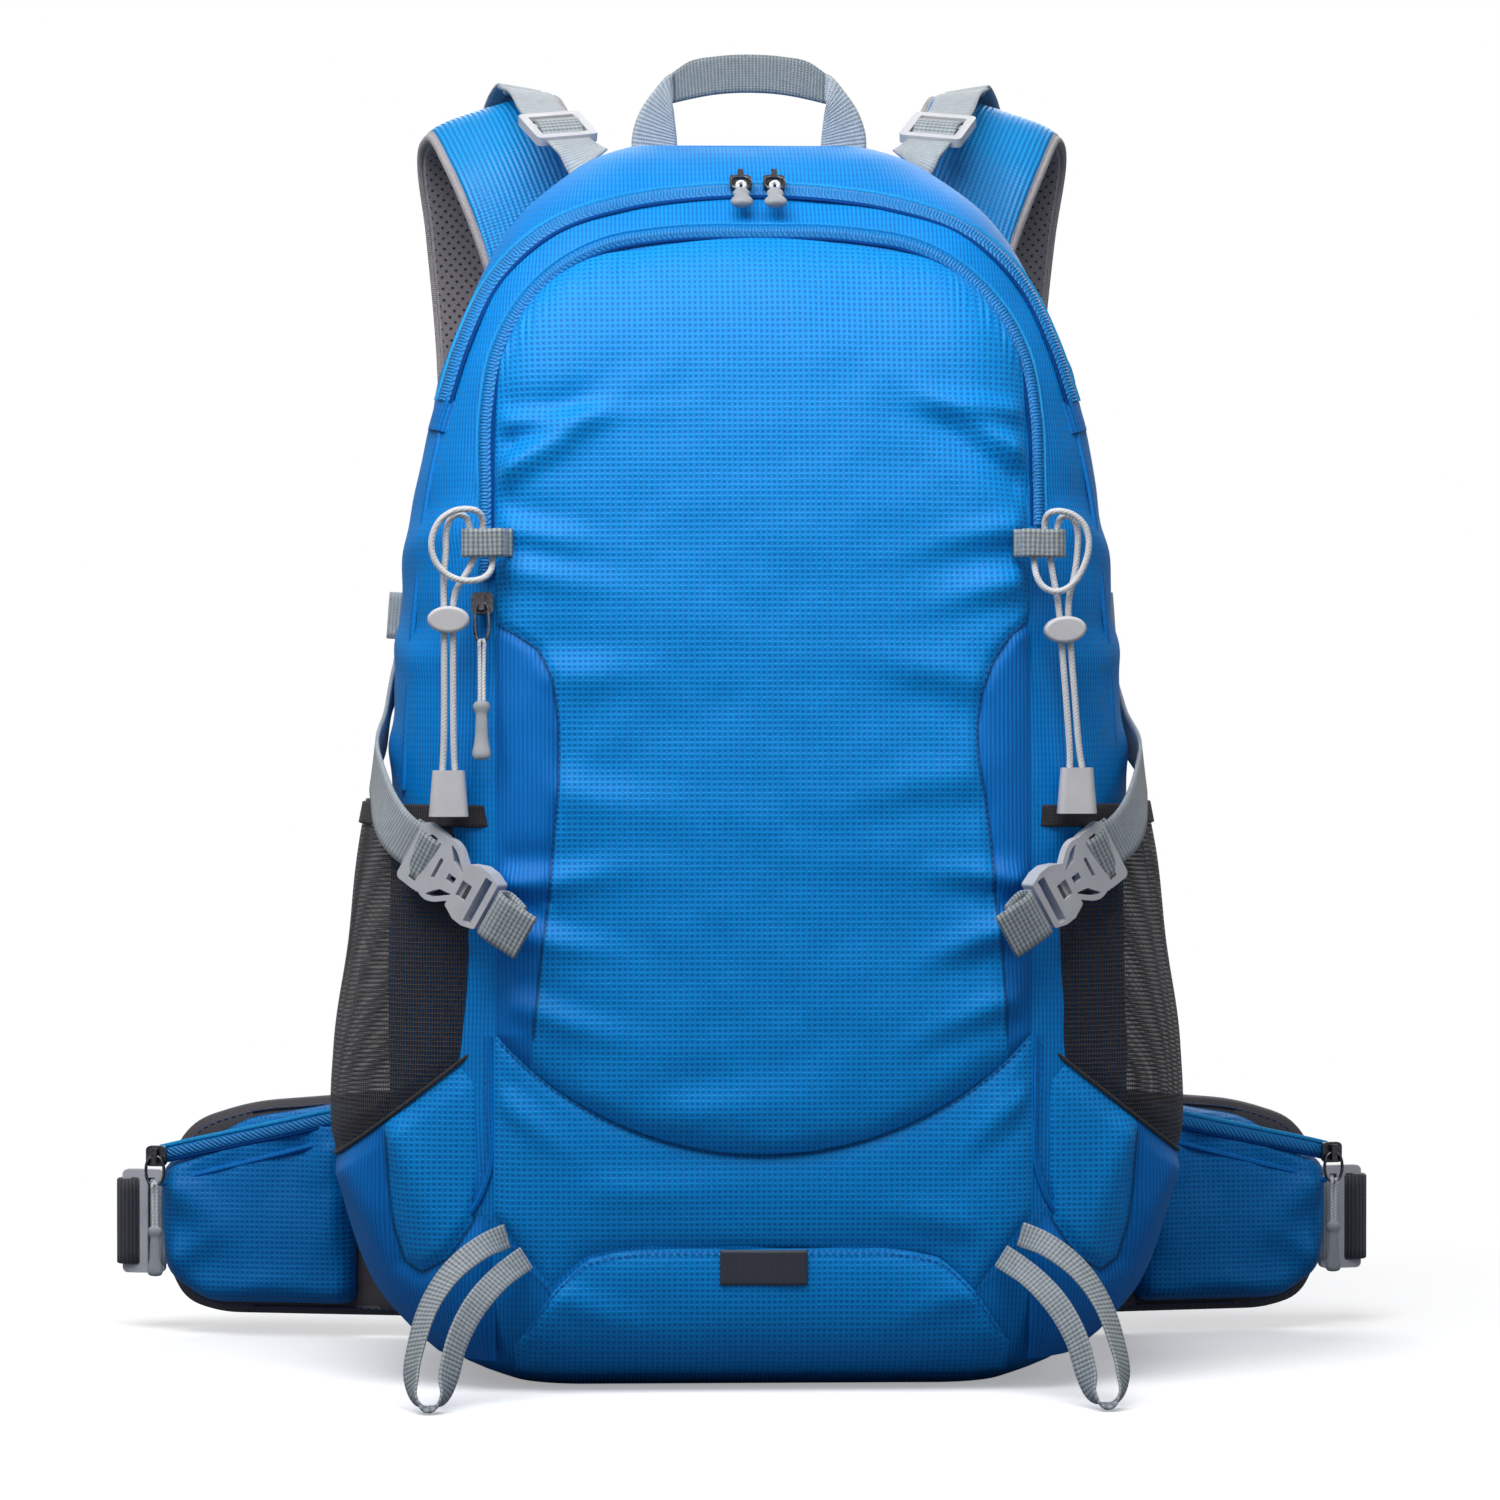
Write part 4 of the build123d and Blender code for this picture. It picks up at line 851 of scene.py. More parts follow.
def rain_edge(x):
    """The seam over the rain cover's pocket, and up round the lower panel's corners."""
    a = np.abs(x)
    middle = rain_top - 3.5 * np.clip((a - 46) / 24, 0, 1) ** 1.6
    shoulder = -14.0 * np.clip((a - 70) / 16, 0, 1) ** 1.25
    corner = 38.0 * np.clip((a - 86) / 28, 0, 1)
    return middle + shoulder + corner


def lower_head(x):
    return np.where(
        np.abs(x) < pocket_half, pocket_foot(np.clip(x, -pocket_half, pocket_half)),
        147 - (np.abs(x) - pocket_half) * 12
    )


lower_folds = (
    ((-104, 120), (-70, 92), 5.0, 2.2),
    ((104, 120), (70, 90), 5.0, 2.2),
    ((-60, 84), (30, 88), 7.0, 1.1),
    ((80, 70), (30, 78), 6.0, 1.4),
)


def lower_lift(x, z, edge):
    folds = sum(crease(x, z, *fold) for fold in lower_folds)
    soft = 0.5 * waves(x, z, x * 0, 30, 8.3)
    return 0.1 + 2.6 * (1 - np.exp(-edge / 6.0)) + (folds + soft) * np.clip(edge / 6, 0, 1)


lower_panel = front_panel(
    "lower_front_cloth", 109.5, rain_edge, lower_head, lower_lift, front_cloth, 1.6, no_ears
)
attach(lower_panel, "pack")
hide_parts("lower_front_panel")

seam_below_pocket = [(x, float(pocket_foot(np.array(x))) - 1.2) for x in np.linspace(-107, 107, 23)]
front_stitches("pocket_foot_stitches", seam_below_pocket, 1.2)


def rain_head(x):
    a = np.abs(x)
    return (
        rain_top
        - 0.8
        - 3.5 * np.clip((a - 46) / 24, 0, 1) ** 1.6
        - 14.0 * np.clip((a - 70) / 16, 0, 1) ** 1.25
        - 24 * np.clip((a - 86) / 16, 0, 1)
    )


def rain_foot(x):
    return 6.5 + 0 * x


def rain_lift(x, z, edge):
    folds = crease(x, z, (-80, 40), (-30, 22), 6.0, 1.3) + crease(x, z, (84, 42), (36, 24), 6.0, 1.1)
    soft = 0.6 * waves(x, z, x * 0, 26, 12.4)
    return 0.1 + 2.9 * (1 - np.exp(-edge / 5.0)) + (folds + soft) * np.clip(edge / 6, 0, 1)


rain_pocket = front_panel(
    "rain_cover_pocket_cloth", 101.0, rain_foot, rain_head, rain_lift, front_cloth, 1.6, no_ears
)
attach(rain_pocket, "pack")
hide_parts("rain_cover_pocket")
rain_seam = [(x, float(rain_head(np.array(float(x)))) - 1.6) for x in np.linspace(-96, 96, 25)]
front_stitches("rain_pocket_stitches", rain_seam, 1.6)

label_dark, tree, output = new_material("woven_label")
cloth = add(tree, "ShaderNodeUVMap", uv_map="cloth")
satin_pitch = 0.7
threads = bands(tree, cloth.outputs[0], satin_pitch, "X")
tone = tinted(tree, threads.outputs["Fac"], linear("#33353F"), linear("#474A57"))
relief = bump(tree, 0.4, 0.1 * MM, threads.outputs["Fac"])
coat(tree, output, {"Base Color": tone.outputs[2], "Roughness": 0.55, "Normal": relief.outputs[0]})
label_low, label_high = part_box("rain_pocket_label")
label_half = (label_high[0] - label_low[0]) / 2 / MM
label_foot, label_head = label_low[2] / MM, label_high[2] / MM


def label_lift(x, z, edge):
    return 3.0 + 0.9 * np.clip(edge / 0.7, 0, 1) ** 0.5 + 0.25 * np.sin(x * 0.16 + 0.5)


label = front_panel(
    "blank_label", label_half, lambda x: label_foot + 0 * x, lambda x: label_head + 0 * x, label_lift,
    label_dark, 0.7
)
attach(label, "pack")
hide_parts("rain_pocket_label")

# ---- Seams of the shell ----
# Where the shell's cloth pieces meet, each seam is a narrow folded welt with stitches beside it.
welt_cloth = ribbed_cloth("folded_seam_nylon", "#0086DE", "#0062B8", rib=1.2, depth=0.1)


def front_welt(name, line, wide=2.4, high=0.9):
    welt = front_ribbon(name, line, round_profile(wide, high), welt_cloth)
    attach(welt, "pack")


for side_name, s in both_sides:
    upright = [
        (s * 110.8, 146), (s * 110.6, 120), (s * 111.5, 90), (s * 118, 75), (s * 130, 62), (s * 143, 49)
    ]
    front_welt(f"{side_name}_corner_seam", upright)
    front_stitches(f"{side_name}_corner_stitches", [(x + s * 2.2, z + 1) for x, z in upright], 0.7)
    patch = [(s * 113.5, 79.5), (s * 105.5, 70.5), (s * 93, 53), (s * 85, 43), (s * 90, 34), (s * 96, 18)]
    front_stitches(f"{side_name}_patch_stitches", [(x + s * 1.6, z - 2.0) for x, z in patch], 0.9)

# ---- Webbing ----
# Woven polyester webbing in two greys. Each length is a flat band swept along its own line,
# with soft selvedges, and its weave runs along it.
def woven_webbing(name, colour, deep_colour, row=1.5, pick=1.1, rough=0.62):
    made, tree, output = new_material(name)
    cloth = add(tree, "ShaderNodeUVMap", uv_map="cloth")
    rows = bands(tree, cloth.outputs[0], row, "Y", {"Distortion": 0.3})
    picks = bands(tree, cloth.outputs[0], pick, "X", {"Distortion": 0.3})
    weave = add(tree, "ShaderNodeMix", {0: 0.3, 2: rows.outputs["Fac"], 3: picks.outputs["Fac"]})
    fuzz = add(tree, "ShaderNodeTexNoise", {"Vector": cloth.outputs[0], "Scale": 0.25, "Detail": 4.0})
    tone = remap(tree, weave.outputs[0], 0.1, 0.8, 0.0, 1.0)
    mixed = tinted(tree, tone.outputs[0], linear(deep_colour), linear(colour))
    worn = remap(tree, fuzz.outputs["Fac"], 0.3, 0.7, 0.9, 1.07)
    toned = add(
        tree, "ShaderNodeVectorMath", {0: mixed.outputs[2], "Scale": worn.outputs[0]}, operation="SCALE"
    )
    relief = bump(tree, 0.8, 0.3 * MM, weave.outputs[0])
    coat(
        tree, output,
        {
            "Base Color": toned.outputs[0], "Roughness": rough, "Sheen Weight": 0.25,
            "Normal": relief.outputs[0]
        }
    )
    return made


light_webbing = woven_webbing("light_grey_webbing", "#B6BEC4", "#98A2A9")
coarse_webbing = woven_webbing("coarse_grey_webbing", "#AEB6BA", "#6E787F", row=1.9, pick=1.9)
dark_webbing = woven_webbing("dark_webbing", "#44464D", "#202228", row=1.6)


def placed(points):
    """Points in millimetres from the bag's own middle as points of the frame."""
    return np.asarray(points, dtype=float) * MM + np.array([0, back_set, 0])


def band(name, points, outs, wide, thick, finish, body="pack", step=1.6):
    """A flat band through points in mm. outs are the ways its face looks, wide one width or one a point."""
    widths = np.broadcast_to(np.asarray(wide, dtype=float), (len(points),))
    run = smooth_line(np.column_stack([points, outs, widths]), step, 3)
    spots, faces_out, wides = run[:, :3], run[:, 3:6], run[:, 6]
    ways = unit(np.gradient(spots, axis=0))
    across = unit(np.cross(ways, faces_out))
    faces_out = np.cross(across, ways)
    reached = reach_along(spots)
    shares = np.linspace(-0.97, 0.97, 9)
    loop = [(s, 0.5) for s in shares] + [(1.0, 0.0)] + [(s, -0.5) for s in shares[::-1]] + [(-1.0, 0.0)]
    made, uvs = [], []
    for share, height in loop:
        made.append(spots + across * (share * wides / 2)[:, None] + faces_out * (height * thick))
        uvs.append(np.column_stack([share * wides / 2, reached]))
    rows, count = len(spots), len(loop)
    points_all = np.stack(made, axis=1).reshape(-1, 3)
    faces = grid_faces(rows, count, closed=True)
    faces += end_faces(rows, count)
    piece = mesh_piece(name, placed(points_all), faces, finish, np.stack(uvs, axis=1).reshape(-1, 2))
    if body:
        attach(piece, body)
    return piece


def piping(
    name, points, radius, finish, body="pack", step=2.0, flat=1.0, *, outs, closed=False
):
    """A round or flattened cord, binding or wire along points in mm: flat is its height over its width."""
    run = smooth_line(np.column_stack([points, outs]), step, 3)
    spots, faces_out = run[:, :3], run[:, 3:6]
    if closed:
        spots, faces_out = spots[:-1], faces_out[:-1]
        ways = unit(np.roll(spots, -1, axis=0) - np.roll(spots, 1, axis=0))
    else:
        ways = unit(np.gradient(spots, axis=0))
    across = unit(np.cross(ways, faces_out))
    faces_out = np.cross(across, ways)
    reached = reach_along(spots)
    count = 10
    rings, uvs = [], []
    for k in range(count):
        a = 2 * math.pi * k / count
        rings.append(spots + across * radius * math.cos(a) + faces_out * radius * flat * math.sin(a))
        uvs.append(np.column_stack([np.full(len(spots), a * radius), reached]))
    rows = len(spots)
    all_points = np.stack(rings, axis=1).reshape(-1, 3)
    faces = grid_faces(rows, count, closed=True)
    if closed:
        last = (rows - 1) * count
        faces += [(last + k, last + (k + 1) % count, (k + 1) % count, k) for k in range(count)]
    else:
        faces += end_faces(rows, count)
    piece = mesh_piece(name, placed(all_points), faces, finish, np.stack(uvs, axis=1).reshape(-1, 2))
    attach(piece, body)
    return piece


def bag_gap(spot):
    """How far a point in mm lies outside the bag, roughly."""
    x, y, z = spot
    wide, near, far, corner = (float(v) / MM for v in bag_at(z * MM))
    across = abs(x) - (wide - corner)
    deep = max(-y - (near - corner), y - (far - corner))
    ring = math.hypot(max(across, 0), max(deep, 0)) + min(max(across, deep), 0) - corner
    return max(ring, z - bag_tall / MM)


def bag_exit(start, way):
    """Where a line from inside the bag leaves it, in mm, and the outward normal there."""
    start, way = np.asarray(start, dtype=float), unit(way)
    low, high = 0.0, 400.0
    for _ in range(40):
        middle = (low + high) / 2
        if bag_gap(start + way * middle) > 0:
            high = middle
        else:
            low = middle
    spot = start + way * low
    steps = np.eye(3) * 0.6
    return spot, unit([bag_gap(spot + s) - bag_gap(spot - s) for s in steps])


def steps_from(spot, along, out, pairs):
    """Points at pairs of distances along and out from a spot."""
    return [spot + along * a + out * b for a, b in pairs]


def mirrored(points):
    return np.asarray(points, dtype=float) * np.array([-1, 1, 1])


pocket_lead = cord_y / MM - back_set / MM  # the strands lie this far in front of the bag's middle line
for side_name, s in both_sides:
    flip = np.array([s, 1, 1])
    # the bungee tab: sewn in the pocket's side seam, out over the zip and back into itself
    near = pocket_lead - 3.6 + 11.0
    front = pocket_lead - 2.85
    rear = pocket_lead + 2.85
    tab = [
        (101.6, near - 0.9, 345.8), (103.6, near - 1.2, 345.8), (104.6, near - 3.4, 345.8),
        (104.9, rear - 2.0, 345.8), (105.6, front + 0.5, 345.8), (107.6, front, 345.8),
        (113.0, front - 0.2, 345.6), (119.4, front, 345.6), (121.2, pocket_lead - 1.4, 345.6),
        (121.3, pocket_lead + 1.2, 345.6), (119.4, rear, 345.6), (113.0, rear + 0.1, 345.8),
        (107.0, rear, 345.8),
    ]
    tab_out = [
        (0, -1, 0), (-0.3, -1, 0), (-1, -0.3, 0), (-1, -0.2, 0), (-0.8, -0.8, 0), (-0.1, -1, 0), (0, -1, 0),
        (0.3, -1, 0), (1, -0.4, 0), (1, 0.4, 0), (0.3, 1, 0), (0, 1, 0), (0, 1, 0),
    ]
    band(
        f"{side_name}_bungee_tab", np.array(tab) * flip, np.array(tab_out) * flip, 11.5, 1.4, coarse_webbing,
        step=0.8
    )

    # the buckle's tab: from the pocket's side seam round the female half's bar and back
    bar = np.array([107.6, -111.9, 196.1])
    down = unit([-0.747, -0.538, -0.585])
    out = unit([0.50, -0.86, 0])
    out = unit(out - down * out.dot(down))
    turns = ((17, 0.6), (9, 3.0), (2.0, 4.6), (-1.8, 3.4), (-2.6, 0), (-1.8, -3.2), (2.6, -3.4), (9, -1.4))
    loop = steps_from(bar, down, out, turns)
    loop_out = [out, out, out, out - down, -down, -out - down, -out, -out]
    band(
        f"{side_name}_buckle_tab", np.array(loop) * flip, np.array(loop_out) * flip, 20.0, 1.4,
        coarse_webbing, step=0.9
    )

    # the spare loop on the bag's side
    seat, side_out = bag_exit((60, 20, 317.0), (1, 0.15, 0))
    aside = unit(np.cross((0, 0, 1), side_out))
    turns = ((2.2, -1), (2.4, 3.4), (1.2, 6.0), (-1.2, 6.0), (-2.4, 3.4), (-2.2, -1))
    loop = steps_from(seat, aside, side_out, turns)
    loop_out = [aside, aside, aside + side_out, side_out - aside, -aside, -aside]
    spare = band(
        f"{side_name}_side_loop", np.array(loop) * flip, np.array(loop_out) * flip, 20.0, 1.3, light_webbing,
        step=0.8
    )
    if s < 0:
        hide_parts("webbing_tabs")

    # the compression strap, from the back panel's seam round the bag's side to the buckle
    along = unit([-0.684884, -0.493387, -0.536192])
    ladder = np.array([141.4, -87.5, 222.6])
    first_out = unit([0.62, -0.78, 0])
    spots = steps_from(ladder, along, first_out, ((7.2, -2.8), (3.0, -2.6), (-2.4, -0.6)))
    outs = [first_out] * 3
    for angle, z, stand in ((-33, 251, 9.0), (-8, 269, 3.6), (14, 286, 2.4), (35, 299, 2.2), (52, 304, 2.0)):
        way = (math.cos(math.radians(angle)), math.sin(math.radians(angle)), 0)
        spot, side_out = bag_exit((70, 0, z), way)
        spots.append(spot + side_out * stand)
        outs.append(side_out)
    strap = band(
        f"{side_name}_compression_webbing", np.array(spots) * flip, np.array(outs) * flip, 20.0, 1.5,
        light_webbing, body=None
    )
    tuple(placed(np.array(spots[5]) * flip))
    tuple(placed(np.array(spots[2]) * flip))
    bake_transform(strap)
    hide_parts(f"{side_name}_compression_strap")
    # its doubled end, threaded back over the ladder's bar
    turns = (
        (-0.6, 0.5), (2.6, 2.9), (7.0, 3.2), (11.2, 2.2), (12.4, -0.6), (10.4, -2.7), (6.0, -4.3), (-6.0, -3.4),
    )
    fold = steps_from(ladder, along, first_out, turns)
    fold_out = [
        first_out - along, first_out - along * 0.4, first_out, first_out + along * 0.5, along,
        -first_out + along, -first_out, -first_out
    ]
    band(
        f"{side_name}_ladder_fold", np.array(fold) * flip, np.array(fold_out) * flip, 19.6, 1.4,
        coarse_webbing, body=f"{side_name}_buckle", step=0.8
    )

    # the gear loop at the bag's lower corner
    first, first_way = bag_exit((103.4, 0, 66), (0, -1, 0))
    last, last_way = bag_exit((96.0, 0, 57), (0, -1, 0))
    spots = [
        first + first_way * 3.9, (114.0, -107.5, 62.0), (126.0, -115.0, 53.0), (134.5, -122.0, 41.0),
        (139.5, -130.0, 27.0), (141.5, -138.0, 13.0), (139.0, -143.0, 4.6), (134.5, -144.5, 1.9),
        (130.0, -143.5, 4.6), (127.0, -139.0, 14.0), (124.0, -132.5, 26.0), (118.0, -123.0, 38.0),
        (108.0, -111.0, 49.0), last + last_way * 3.9
    ]
    outs = [
        first_way, (0.2, -1, 0.3), (0.4, -0.9, 0.4), (0.6, -0.8, 0.4), (0.7, -0.7, 0.2), (0.8, -0.6, 0),
        (0.6, -0.3, -0.7), (0, 0.1, -1), (-0.6, -0.3, -0.7), (-0.6, -0.8, -0.1), (-0.5, -0.8, 0.1),
        (-0.4, -0.9, 0.3), (-0.1, -0.9, 0.4), last_way
    ]
    loop = band(
        f"{side_name}_gear_loop", np.array(spots) * flip, np.array(outs) * flip, 10.0, 1.2, coarse_webbing,
        step=1.2
    )
    if s < 0:
        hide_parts("gear_loops")

# the upright seams between the bag's sides and its back panel
for side_name, s in both_sides:
    flip = np.array([s, 1, 1])
    found = [
        bag_exit(
            (70, 0, z), (math.cos(math.radians(54)), math.sin(math.radians(54)), 0)
        ) for z in np.linspace(40, 455, 16)
    ]
    piping(
        f"{side_name}_back_seam", np.array([spot for spot, _ in found]) * flip, 1.7, welt_cloth,
        step=4.0, outs=np.array([way for _, way in found]) * flip
    )

# the load lifters over the shoulders and the lower adjusters behind the bag
lifter_lock = np.array([83.0, 81.0, 530.0])
lifter_way = unit([-0.33, -0.83, -0.44])
lifter_out = np.array([-0.05, -0.45, 0.89])
lock_half = 14.4  # from a ladder lock's middle to its webbing's end of the frame
lock_reach = lifter_way * lock_half
crest = np.array([100.3, 136.0, 552.2])
seat, seat_out = bag_exit((45, 55, 480), (0.75, 0, 1))
seat = seat + seat_out * 1.2
lifter_up = unit(lifter_out)
lock_back, lock_front = lifter_lock - lock_reach, lifter_lock + lock_reach
lead = lock_back - lifter_way * 5
over = [crest, crest * 0.5 + lead * 0.5 + np.array([0, 0, 3.0]), lead, lock_back]
over += steps_from(lifter_lock, lifter_way, lifter_up, ((-7, -1.9), (0, -2.6), (7, -2.0)))
over_out = [(-0.1, 0.1, 1), (-0.1, -0.2, 1)] + [tuple(lifter_out)] * 5
under = [
    lock_front, lock_front + lifter_way * 4, lock_front * 0.45 + seat * 0.55 + np.array([0, 0, 0.6]), seat
]
under_out = [tuple(lifter_out), tuple(lifter_out), (0.15, -0.35, 1), tuple(seat_out)]
turns = ((-8.5, 0.2), (-6, 1.6), (-2.6, 2.7), (0, 3.1), (2.8, 2.5), (6, 1.2), (9, -1.6))
inside = steps_from(lifter_lock, lifter_way, lifter_up, turns) + [lock_front]
lower_lock = np.array([128.5, 143.0, 164.6])
lower_way = unit([-0.32, -0.66, -0.68])
lower_out = np.array([-0.05, 0.72, -0.68])
lower = lower_lock + lower_way * lock_half
anchor, anchor_out = bag_exit((60, 0, 128), (0.55, 0.9, 0))
foot = anchor + anchor_out * 1.2
hang = steps_from(lower_lock, lower_way, unit(lower_out), ((-9, -1.0), (0, -2.8), (9, -1.0)))
hang += [lower, lower + lower_way * 4, lower * 0.5 + foot * 0.5 + np.array([2, 2, -2]), foot]
hang_out = [tuple(lower_out)] * 5 + [(0.2, 0.8, -0.55), tuple(anchor_out)]
for side_name, s in both_sides:
    flip = np.array([s, 1, 1])
    piece = band(
        f"{side_name}_lifter_webbing", np.array(over) * flip, np.array(over_out) * flip, 20.0, 1.5,
        light_webbing
    )
    if s < 0:
        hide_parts("harness_webbing")
    over_pad = [
        crest - np.array([3.0, 9.2, 3.2]), crest + np.array([0, 0, 0.9]), (104.0, 146.5, 550.6),
        (107.0, 156.5, 545.0), (109.0, 164.0, 535.0)
    ]
    over_pad_out = [(-0.1, -0.1, 1), (-0.1, 0.1, 1), (0.1, 0.45, 0.9), (0.25, 0.75, 0.7), (0.28, 0.88, 0.45)]
    band(
        f"{side_name}_lifter_seat", np.array(over_pad) * flip, np.array(over_pad_out) * flip, 20.0, 1.4,
        light_webbing
    )
    band(
        f"{side_name}_lifter_end", np.array(under) * flip, np.array(under_out) * flip, 20.0, 1.5,
        light_webbing
    )
    band(
        f"{side_name}_lifter_fold", np.array(inside) * flip, np.array([tuple(lifter_out)] * 8) * flip, 19.4,
        1.3, coarse_webbing, step=0.8
    )
    tongue = [(130.3, 149.6, 190), (129.9, 147.8, 179), lower_lock - lower_way * 10.5]
    band(
        f"{side_name}_strap_end_loop", np.array(tongue) * flip,
        np.array([(0, 0.94, -0.35)] * 2 + [tuple(lower_out)]) * flip, 20.0, 1.6, light_webbing
    )
    band(
        f"{side_name}_lower_adjuster_webbing", np.array(hang) * flip, np.array(hang_out) * flip, 20.0, 1.5,
        light_webbing
    )

# ---- Moulded plastic and metal ----
# Acetal buckles, locks and end caps with a satin moulded face, and gunmetal zip sliders.
def moulded_plastic(name, colour, deep_colour, rough=0.38, grain=0.9):
    made, tree, output = new_material(name)
    where = add(tree, "ShaderNodeTexCoord")
    fine = add(
        tree, "ShaderNodeTexNoise",
        {"Vector": where.outputs["Object"], "Scale": 1 / (grain * MM), "Detail": 3.0}
    )
    broad = add(
        tree, "ShaderNodeTexNoise", {"Vector": where.outputs["Object"], "Scale": 1 / (14 * MM), "Detail": 2.0}
    )
    tone = remap(tree, broad.outputs["Fac"], 0.3, 0.7, 0.0, 1.0)
    mixed = tinted(tree, tone.outputs[0], linear(deep_colour), linear(colour))
    gloss = remap(tree, fine.outputs["Fac"], 0.3, 0.7, rough - 0.06, rough + 0.08)
    relief = bump(tree, 0.25, 0.05 * MM, fine.outputs["Fac"])
    coat(tree, output, {
            "Base Color": mixed.outputs[2],
            "Roughness": gloss.outputs[0],
            "Subsurface Weight": 0.06,
            "Subsurface Scale": 0.002,
            "Normal": relief.outputs[0],
        })
    return made


acetal = moulded_plastic("light_grey_acetal", "#CFD0D5", "#C3C5CB")
warm_acetal = moulded_plastic("pale_grey_acetal", "#D6D5D7", "#CCCBCF")
pull_rubber = moulded_plastic("grey_moulded_pull", "#A9AEB4", "#9499A0", rough=0.5)

gunmetal, tree, output = new_material("plated_gunmetal")
where = add(tree, "ShaderNodeTexCoord")
scratches = add(
    tree, "ShaderNodeTexNoise", {"Vector": where.outputs["Object"], "Scale": 900.0, "Detail": 4.0}
)
tone = tinted(tree, scratches.outputs["Fac"], linear("#3F3F44"), linear("#8A898C"))
gloss = remap(tree, scratches.outputs["Fac"], 0.3, 0.7, 0.22, 0.36)
coat(tree, output, {"Base Color": tone.outputs[2], "Metallic": 1.0, "Roughness": gloss.outputs[0]})


def finish_nodes(finish, *names):
    """Gives CAD nodes a material in every slot."""
    for name in names:
        held = frame["nodes"][name]
        if not held.material_slots:
            held.data.materials.append(finish)
        for slot in held.material_slots:
            slot.material = finish


finish_nodes(
    acetal, "right_compression_male", "left_compression_male", "compression_females", "ladder_locks",
    "sternum_clips", "sternum_male", "sternum_female", "hip_buckle_male", "hip_buckle_female",
    "right_hip_adjuster", "left_hip_adjuster"
)
finish_nodes(warm_acetal, "left_toggle", "right_toggle", "bungee_end_caps")
finish_nodes(
    gunmetal, "main_zip_slider_right", "main_zip_slider_left", "front_zip_slider", "right_hip_zip_slider",
    "left_hip_zip_slider"
)

# ---- Grab handle ----
# One length of 20 mm webbing folded at both shoulders: its legs show their outer face, and the
# arch between the folds its inner face, in a darker copy of the webbing that paints its shade.
shaded_webbing = woven_webbing("shade_painted_webbing", "#8A9499", "#626C72")


def ruled_band(name, edge_a, edge_b, thick, finish, body="pack", slot="light_webbing"):
    """A band between two drawn edges, in mm, with rounded selvedges."""
    fine, step, columns = 0.5, 1.5, 10
    runs = [smooth_line(edge, fine, 3) for edge in (edge_a, edge_b)]
    count = max(4, int(max(len(r) for r in runs) * fine / step))
    share = np.linspace(0, 1, count)
    a, b = (
        np.column_stack(
            [np.interp(share, np.linspace(0, 1, len(r)), r[:, k]) for k in range(3)]
        ) for r in runs
    )
    middle = (a + b) / 2
    ways = unit(np.gradient(middle, axis=0))
    across = unit(b - a)
    faces_out = unit(np.cross(ways, across))
    reached = reach_along(middle)
    width = np.linalg.norm(b - a, axis=1)
    shares = np.linspace(0.03, 0.97, columns)
    loop = [(s, 0.5) for s in shares] + [(1.0, 0.0)] + [(s, -0.5) for s in shares[::-1]] + [(0.0, 0.0)]
    spots = [a + (b - a) * s + faces_out * (h * thick) for s, h in loop]
    uvs = [np.column_stack([(s - 0.5) * width, reached]) for s, h in loop]
    rows, sides = count, len(loop)
    faces = grid_faces(rows, sides, closed=True) + end_faces(rows, sides)
    piece = mesh_piece(
        name, placed(np.stack(spots, axis=1).reshape(-1, 3)), faces, finish,
        np.stack(uvs, axis=1).reshape(-1, 2)
    )
    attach(piece, body)
    return piece


for side_name, s in both_sides:
    flip = np.array([s, 1, 1])
    outer = np.array(
        [
            (51, 70, 517.7), (50.8, 69.4, 526), (47.5, 68.2, 536), (41, 67.2, 545.5), (35.2, 67.6, 552.0),
            (33.6, 69.4, 553.0)
        ]
    )
    inner = np.array(
        [
            (31, 70, 517.7), (31.4, 69.0, 525), (32.2, 67.8, 532), (33.0, 66.9, 538), (33.6, 67.3, 540.4),
            (33.2, 69.2, 540.6)
        ]
    )
    ruled_band(f"{side_name}_handle_leg", outer * flip, inner * flip, 1.6, light_webbing, "grab_handle")
top_edge = [
    (-33.6, 70.8, 553.0), (-26, 71.4, 558.2), (-14, 71.8, 560.6), (0, 72.0, 561.4), (14, 71.8, 560.6),
    (26, 71.4, 558.2), (33.6, 70.8, 553.0)
]
low_edge = [
    (-33.4, 70.4, 539.8), (-26, 70.4, 541.6), (-14, 70.6, 543.8), (0, 70.8, 544.6), (14, 70.6, 543.8),
    (26, 70.4, 541.6), (33.4, 70.4, 539.8)
]
arch = ruled_band("handle_arch", top_edge, low_edge, 1.6, shaded_webbing, "grab_handle")
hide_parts("grab_handle")

# ---- Zips ----
# The main zip arches over the crown and the front pocket's zip runs round its head. Each is a
# knitted tape with a coil under its edge, a folded piping outside it and a dark gap inside it.
coil_tape, tree, output = new_material("coil_zip_tape")
cloth = add(tree, "ShaderNodeUVMap", uv_map="cloth")
split = add(tree, "ShaderNodeSeparateXYZ", {0: cloth.outputs[0]})
coil_pitch = 1.35
coils = bands(tree, cloth.outputs[0], coil_pitch, "Y", {"Distortion": 1.2, "Detail": 2.0})
knit = bands(tree, cloth.outputs[0], 1.1, "DIAGONAL", {"Distortion": 0.8})
aside = add(tree, "ShaderNodeMath", {0: split.outputs["X"]}, operation="ABSOLUTE")
on_coil = remap(tree, aside.outputs[0], 1.2, 1.7, 1.0, 0.0)
weave = add(tree, "ShaderNodeMix", {0: on_coil.outputs[0], 2: knit.outputs["Fac"], 3: coils.outputs["Fac"]})
tone = tinted(tree, weave.outputs[0], linear("#006CBA"), linear("#0892E0"))
relief = bump(tree, 0.9, 0.35 * MM, weave.outputs[0])
coat(tree, output, {"Base Color": tone.outputs[2], "Roughness": 0.55, "Normal": relief.outputs[0]})

